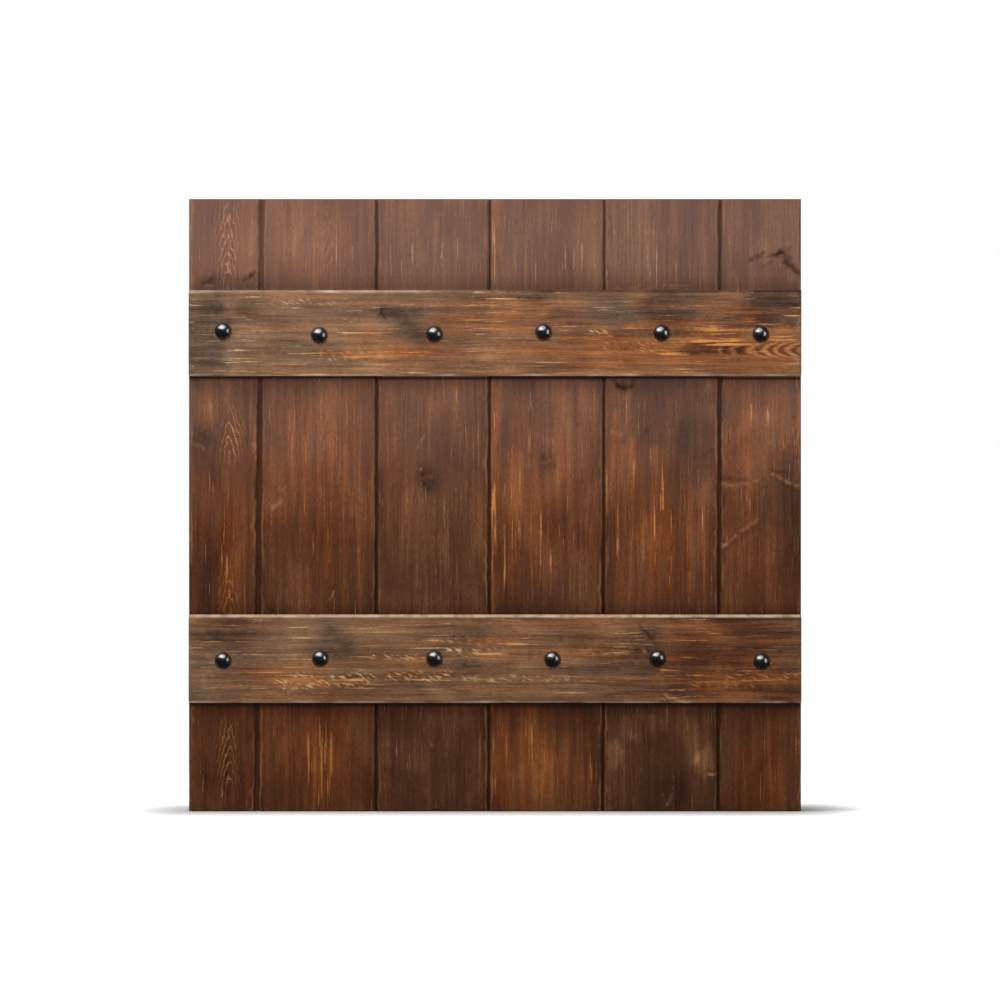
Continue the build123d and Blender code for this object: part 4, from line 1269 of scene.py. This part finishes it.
def eased_copy(name, width):
    """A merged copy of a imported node's mesh with every sharp edge rounded."""
    work = bmesh.new()
    work.from_mesh(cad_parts[name].data)
    bmesh.ops.remove_doubles(work, verts=work.verts, dist=MERGE_DISTANCE)
    sharp = [edge for edge in work.edges if edge.is_manifold and edge.calc_face_angle() > SHARP_ANGLE]
    bmesh.ops.bevel(work, geom=sharp, offset=width, segments=2, profile=0.5, affect="EDGES",
                    clamp_overlap=True)
    mesh = bpy.data.meshes.new(f"{name}_eased")
    work.to_mesh(mesh)
    work.free()
    return mesh


def measure(name, text, size):
    """A length property with a default."""
    return FloatProperty(name=name, description=text, default=size, unit="LENGTH", precision=5)


def tint(name, text, colour):
    """A colour property with a default."""
    return FloatVectorProperty(name=name, description=text, subtype="COLOR", size=3, min=0.0, max=1.0,
                               default=colour)


class BarnDoorSizes(bpy.types.PropertyGroup):
    """Sizes of the wood's relief and of the meshes' steps."""

    grain_step: measure("Grain step", "Distance between mesh rows along the grain", 2.8 * MM)
    cross_step: measure("Cross step", "Distance between mesh lines across the grain", 1.4 * MM)
    relief: measure("Relief", "Depth of the grain's ripples", 0.45 * MM)
    arris: measure("Arris", "Typical wear of a wooden edge", 1.5 * MM)


class BarnDoorColours(bpy.types.PropertyGroup):
    """Colours of the finishes."""

    board_dark: tint("Board dark", "Darkest grain of the boards", stain(41, 24, 15))
    board_shade: tint("Board shade", "Dark grain of the boards", stain(67, 40, 25))
    board_brown: tint("Board brown", "Main colour of the boards", stain(92, 57, 37))
    board_light: tint("Board light", "Light grain of the boards", stain(121, 82, 55))
    board_pale: tint("Board pale", "Palest lines of the boards", stain(180, 129, 84))
    ledge_brown: tint("Ledge brown", "Main colour of the ledges", stain(120, 94, 72))
    # The veil is mixed in more towards the top of the boards.
    veil: tint("Veil", "Pale bloom on the upper boards", stain(172, 149, 141))
    iron: tint("Iron", "Black paint of the bolts", stain(9, 9, 10))
    zinc: tint("Zinc", "Washers, nuts and screws", stain(176, 178, 182))
    frame_dark: tint("Frame dark", "Dark grain of the frame timbers", stain(52, 34, 24))
    frame_light: tint("Frame light", "Light grain of the frame timbers", stain(140, 98, 66))
    hinge: tint("Hinge steel", "Hinge plates and pins", stain(120, 118, 116))
    floor: tint("Floor", "Floor of the stage", stain(244, 244, 244))


class BARNDOOR_OT_boards(bpy.types.Operator):
    """Make the six upright boards"""

    bl_idname = "barn_door.boards"
    bl_label = "Boards"

    def execute(self, context):
        ends = end_finish("board_end_grain", stain(50, 32, 22), stain(118, 82, 56), "Z")
        finishes = [board_finish(), ends]
        for number, bolts in enumerate(zip(*bolt_places())):
            mesh = board_mesh(number, bolts, context.scene.barn_door_sizes)
            add_piece(mesh, "leaf", [BOARD_NAMES[number]], finishes)
            mark_ends(mesh)
        return {"FINISHED"}


class BARNDOOR_OT_ledges(bpy.types.Operator):
    """Make the two ledges across the boards"""

    bl_idname = "barn_door.ledges"
    bl_label = "Ledges"

    def execute(self, context):
        ends = end_finish("ledge_end_grain", stain(46, 32, 24), stain(120, 88, 62), "X")
        finishes = [ledge_finish(), ends]
        for number, name in enumerate(LEDGE_NAMES):
            mesh = ledge_mesh(name, number, context.scene.barn_door_sizes)
            add_piece(mesh, "leaf", [name], finishes)
            mark_ends(mesh)
        return {"FINISHED"}


class BARNDOOR_OT_bolts(bpy.types.Operator):
    """Make the round-headed bolts with their washers and nuts"""

    bl_idname = "barn_door.bolts"
    bl_label = "Bolts, washers and nuts"

    def execute(self, context):
        upper, lower = bolt_places()
        places = upper + lower
        bolt, washer, nut = bolt_shell(), washer_shell(), nut_shell()
        front, back, right = (0, -1, 0), (0, 1, 0), (1, 0, 0)
        shells = [stood(bolt, (x, LEDGE_FRONT, z), front, right) for x, z in places]
        mesh = gathered("coach_bolts_iron", shells)
        add_piece(mesh, "leaf", ["coach_bolts"], [iron_finish()])
        zinc = steel_finish("zinc_plate", context.scene.barn_door_colours.zinc, 0.26, 0.5)
        seat = BOARD_BACK - POCKET_DEPTH
        shells = [stood(washer, (x, seat, z), back, right) for x, z in places]
        mesh = gathered("bolt_washers_zinc", shells, looped=True)
        add_piece(mesh, "leaf", ["bolt_washers"], [zinc])
        seat += WASHER_THICK
        shells = [stood(nut, (x, seat, z), back, (math.cos(x * NUT_TURN), 0, math.sin(x * NUT_TURN)))
                  for x, z in places]
        mesh = gathered("bolt_nuts_zinc", shells, looped=True)
        add_piece(mesh, "leaf", ["bolt_nuts"], [zinc])
        return {"FINISHED"}


class BARNDOOR_OT_hinges(bpy.types.Operator):
    """Make the butt hinges: a plate on the leaf, a plate on the frame and a pin each"""

    bl_idname = "barn_door.hinges"
    bl_label = "Hinges"

    def execute(self, context):
        steel = steel_finish("hinge_plate", context.scene.barn_door_colours.hinge, 0.3, 0.6)
        for level in ("upper", "lower"):
            for body in ("leaf", "frame"):
                name = f"{level}_hinge_{body}_plate"
                add_piece(eased_copy(name, 0.3 * MM), body, [name], [steel], 30.0)
            name = f"{level}_hinge_pin"
            low, high = (np.array(corner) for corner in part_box(name))
            middle = (low + high) / 2
            shell = stood(pin_shell(low[2], high[2]), (middle[0], middle[1], 0.0), (0, 0, 1), (1, 0, 0))
            add_piece(gathered(f"{name}_steel", [shell]), "frame", [name], [steel])
        return {"FINISHED"}


class BARNDOOR_OT_screws(bpy.types.Operator):
    """Make the screws of the hinges and of the frame's corners"""

    bl_idname = "barn_door.screws"
    bl_label = "Screws"

    def execute(self, context):
        zinc = steel_finish("zinc_screw", context.scene.barn_door_colours.zinc, 0.26, 0.5)
        kinds = (("leaf_hinge_screws", "leaf", (2,), (0, 1, 0)),
                 ("frame_hinge_screws", "frame", (2,), (1, 0, 0)),
                 ("frame_corner_screws", "frame", (0, 2), (0, 1, 0)))
        for name, body, axes, out in kinds:
            axis = out.index(1)
            shells = []
            for number, group in enumerate(parts_of(name, axes, 5 * MM)):
                origin = middles([group])[0]
                origin[axis] = group[:, axis].max()
                turn = SCREW_TURN * number
                side = np.roll([0.0, math.cos(turn), math.sin(turn)], axis)
                shells.append(stood(screw_shell(float(np.ptp(group[:, axis]))), origin, out, side))
            add_piece(gathered(f"{name}_zinc", shells), body, [name], [zinc], 32.0)
        return {"FINISHED"}


class BARNDOOR_OT_frame(bpy.types.Operator):
    """Make the frame's jambs and rails"""

    bl_idname = "barn_door.frame"
    bl_label = "Frame"

    def execute(self, context):
        tints = context.scene.barn_door_colours
        finishes = {"jamb": sawn_finish("frame_upright", True, tints.frame_dark, tints.frame_light),
                    "rail": sawn_finish("frame_level", False, tints.frame_dark, tints.frame_light)}
        for name in ("left_jamb", "right_jamb", "head_rail", "sill_rail"):
            finish = finishes[name.split("_")[1]]
            add_piece(eased_copy(name, 1.2 * MM), "frame", [name], [finish], 30.0)
        return {"FINISHED"}


class BARNDOOR_OT_pads(bpy.types.Operator):
    """Make the closing pads"""

    bl_idname = "barn_door.pads"
    bl_label = "Closing pads"

    def execute(self, context):
        groups = parts_of("closing_pads", (2,), 5 * MM)
        shells = [pad_shell(group.min(0), group.max(0)) for group in groups]
        mesh = gathered("closing_pads_rubber", shells)
        add_piece(mesh, "frame", ["closing_pads"], [rubber_finish()])
        return {"FINISHED"}


# Stage

# The camera stands far off, so that the leaf is seen almost flat, and the shadow's half width,
# reach and depth say where the floor doesn't glow
VIEW_DISTANCE = 16.0
SENSOR = 36.0
FLOOR_REACH = 2.2
FLOOR_GAP = 0.5 * MM
FLOOR_TICKS = 9
SHADOW_HALF = 0.37
SHADOW_REACH = (0.01, 0.14)
SHADOW_DEPTH_SHARE = 0.06
AMBIENT = 0.14
MIRRORED_SHARE = 0.2
SKY_TINT = (0.95, 0.97, 1.0)
VIEW_END = 50.0

# Lights: name, place, size, power, colour, whether they show in gloss, whether they light matt faces
LIGHTS = (
    ("front_soft", (-0.12, -4.2, 1.55), (1.2, 0.4), 58.5, (1.0, 0.98, 0.95), False, True),
    ("top_soft", (-0.8, -1.0, 1.8), (1.4, 0.9), 20, (1.0, 1.0, 1.0), True, True),
    ("sky_soft", (-1.0, -1.2, 3.2), (5.0, 3.2), 180, (1.0, 1.0, 1.0), True, False),
    ("side_soft", (2.2, -1.4, 0.8), (1.0, 1.7), 26, (1.0, 1.0, 1.0), True, False),
    ("rear_soft", (0.6, 3.2, 1.9), (2.0, 1.6), 40, (1.0, 0.98, 0.96), False, True),
)


def area_light(aim, name, place, size, power, colour, glossy, diffuse):
    """A rectangular soft light that looks at a point."""
    data = bpy.data.lights.new(name, "AREA")
    data.shape = "RECTANGLE"
    data.size, data.size_y = size
    data.energy = power
    data.color = colour
    light = bpy.data.objects.new(name, data)
    light.location = place
    light.rotation_euler = (Vector(aim) - Vector(place)).to_track_quat("-Z", "Y").to_euler()
    light.visible_glossy = glossy
    light.visible_diffuse = diffuse
    bpy.context.scene.collection.objects.link(light)


def world_light(ambient):
    """A white surround for the camera that lights the object more dimly."""
    world = bpy.data.worlds.new("studio")
    world.use_nodes = True
    tree = world.node_tree
    tree.nodes.clear()
    path = node(tree, "LightPath").outputs
    plain = thrice(1.0)
    skies = ((SKY_TINT, ambient), (plain, MIRRORED_SHARE * ambient), (plain, 1.0))
    soft, mirrored, white = (
        node(tree, "Background", {"Color": opaque(colour), "Strength": strength}).outputs[0]
        for colour, strength in skies)
    dim = node(tree, "MixShader", {0: path["Is Glossy Ray"], 1: soft, 2: mirrored})
    both = node(tree, "MixShader", {0: path["Is Camera Ray"], 1: dim.outputs[0], 2: white})
    node(tree, "OutputWorld", {"Surface": both.outputs[0]})
    bpy.context.scene.world = world


def floor_finish():
    """A plain pale floor that glows away from the leaf, so that only a contact shadow shows."""
    made, tree, shader = new_finish("floor_paper")
    place = object_place(tree)
    mottle = calc(tree, "MULTIPLY", noise(tree, place, thrice(30), 3.0), 0.04)
    paper = opaque(bpy.context.scene.barn_door_colours.floor)
    colour = mixed(tree, mottle, paper, opaque(thrice(0.8)))
    across, deep, _ = node(tree, "SeparateXYZ", {0: place}).outputs
    beside = calc(tree, "SUBTRACT", calc(tree, "ABSOLUTE", across), SHADOW_HALF)
    beside = calc(tree, "MAXIMUM", beside, 0.0)
    squares = [calc(tree, "MULTIPLY", side, side) for side in (beside, deep)]
    away = calc(tree, "SQRT", total(tree, [(squares[0], 1.0), (squares[1], SHADOW_DEPTH_SHARE)]))
    attach(tree, shader, Base_Color=colour, Roughness=0.9, Specular_IOR_Level=0.1,
           Emission_Color=opaque(thrice(1.0)), Emission_Strength=ranged(tree, away, *SHADOW_REACH))
    return made


class BARNDOOR_OT_stage(bpy.types.Operator):
    """Make the floor, the lights and the camera"""

    bl_idname = "barn_door.stage"
    bl_label = "Stage"

    def execute(self, context):
        scene = context.scene
        scene.view_settings.view_transform = "Standard"
        floor_z = LEAF_FOOT - FLOOR_GAP
        ticks = np.linspace(-FLOOR_REACH, FLOOR_REACH, FLOOR_TICKS)
        x, y = np.meshgrid(ticks, ticks)
        places = np.stack([x, y, np.full_like(x, floor_z)], axis=-1)
        index = np.arange(x.size).reshape(x.shape)
        corners = [index[:-1, :-1], index[:-1, 1:], index[1:, 1:], index[1:, :-1]]
        mesh = fill_mesh("floor", places.reshape(-1, 3), np.stack(corners, axis=-1).reshape(-1, 4))
        mesh.materials.append(floor_finish())
        floor = bpy.data.objects.new("floor", mesh)
        scene.collection.objects.link(floor)
        floor.visible_glossy = False

        world_light(AMBIENT)
        aim = (0.0, BOARD_FRONT, (LEAF_FOOT + LEAF_TOP) / 2)
        for light in LIGHTS:
            area_light(aim, *light)

        data = bpy.data.cameras.new("camera")
        data.sensor_width = SENSOR
        data.lens = SENSOR * VIEW_DISTANCE / (PICTURE_SIDE * PIXEL)
        data.clip_end = VIEW_END
        camera = bpy.data.objects.new("camera", data)
        middle = PICTURE_SIDE / 2
        camera.location = (LEAF_LEFT + (middle - PICTURE_LEFT) * PIXEL, BOARD_FRONT - VIEW_DISTANCE,
                           LEAF_TOP - (middle - PICTURE_TOP) * PIXEL)
        camera.rotation_euler = (math.radians(90), 0, 0)
        scene.collection.objects.link(camera)
        scene.camera = camera
        return {"FINISHED"}


OPERATORS = (BARNDOOR_OT_boards, BARNDOOR_OT_ledges, BARNDOOR_OT_bolts, BARNDOOR_OT_hinges,
             BARNDOOR_OT_screws, BARNDOOR_OT_frame, BARNDOOR_OT_pads, BARNDOOR_OT_stage)


class BARNDOOR_PT_panel(bpy.types.Panel):
    """Lists the pieces of the barn door"""

    bl_idname = "BARNDOOR_PT_panel"
    bl_label = "Barn Door"
    bl_space_type = "VIEW_3D"
    bl_region_type = "UI"
    bl_category = "Barn Door"

    def draw(self, context):
        column = self.layout.column()
        for group in (context.scene.barn_door_sizes, context.scene.barn_door_colours):
            for name in group.__annotations__:
                column.prop(group, name)
        for operator in OPERATORS:
            column.operator(operator.bl_idname)


CLASSES = (BarnDoorSizes, BarnDoorColours, *OPERATORS, BARNDOOR_PT_panel)


def register():
    """Adds the classes and the door's values to Blender."""
    for kind in CLASSES:
        bpy.utils.register_class(kind)
    bpy.types.Scene.barn_door_sizes = PointerProperty(type=BarnDoorSizes)
    bpy.types.Scene.barn_door_colours = PointerProperty(type=BarnDoorColours)


def unregister():
    """Takes them away again."""
    del bpy.types.Scene.barn_door_colours
    del bpy.types.Scene.barn_door_sizes
    for kind in reversed(CLASSES):
        bpy.utils.unregister_class(kind)


def main():
    """Makes every piece and the stage."""
    register()
    bpy.ops.barn_door.boards()
    bpy.ops.barn_door.ledges()
    bpy.ops.barn_door.bolts()
    bpy.ops.barn_door.hinges()
    bpy.ops.barn_door.screws()
    bpy.ops.barn_door.frame()
    bpy.ops.barn_door.pads()
    bpy.ops.barn_door.stage()
    bpy.context.view_layer.update()


if __name__ == "__main__":
    main()
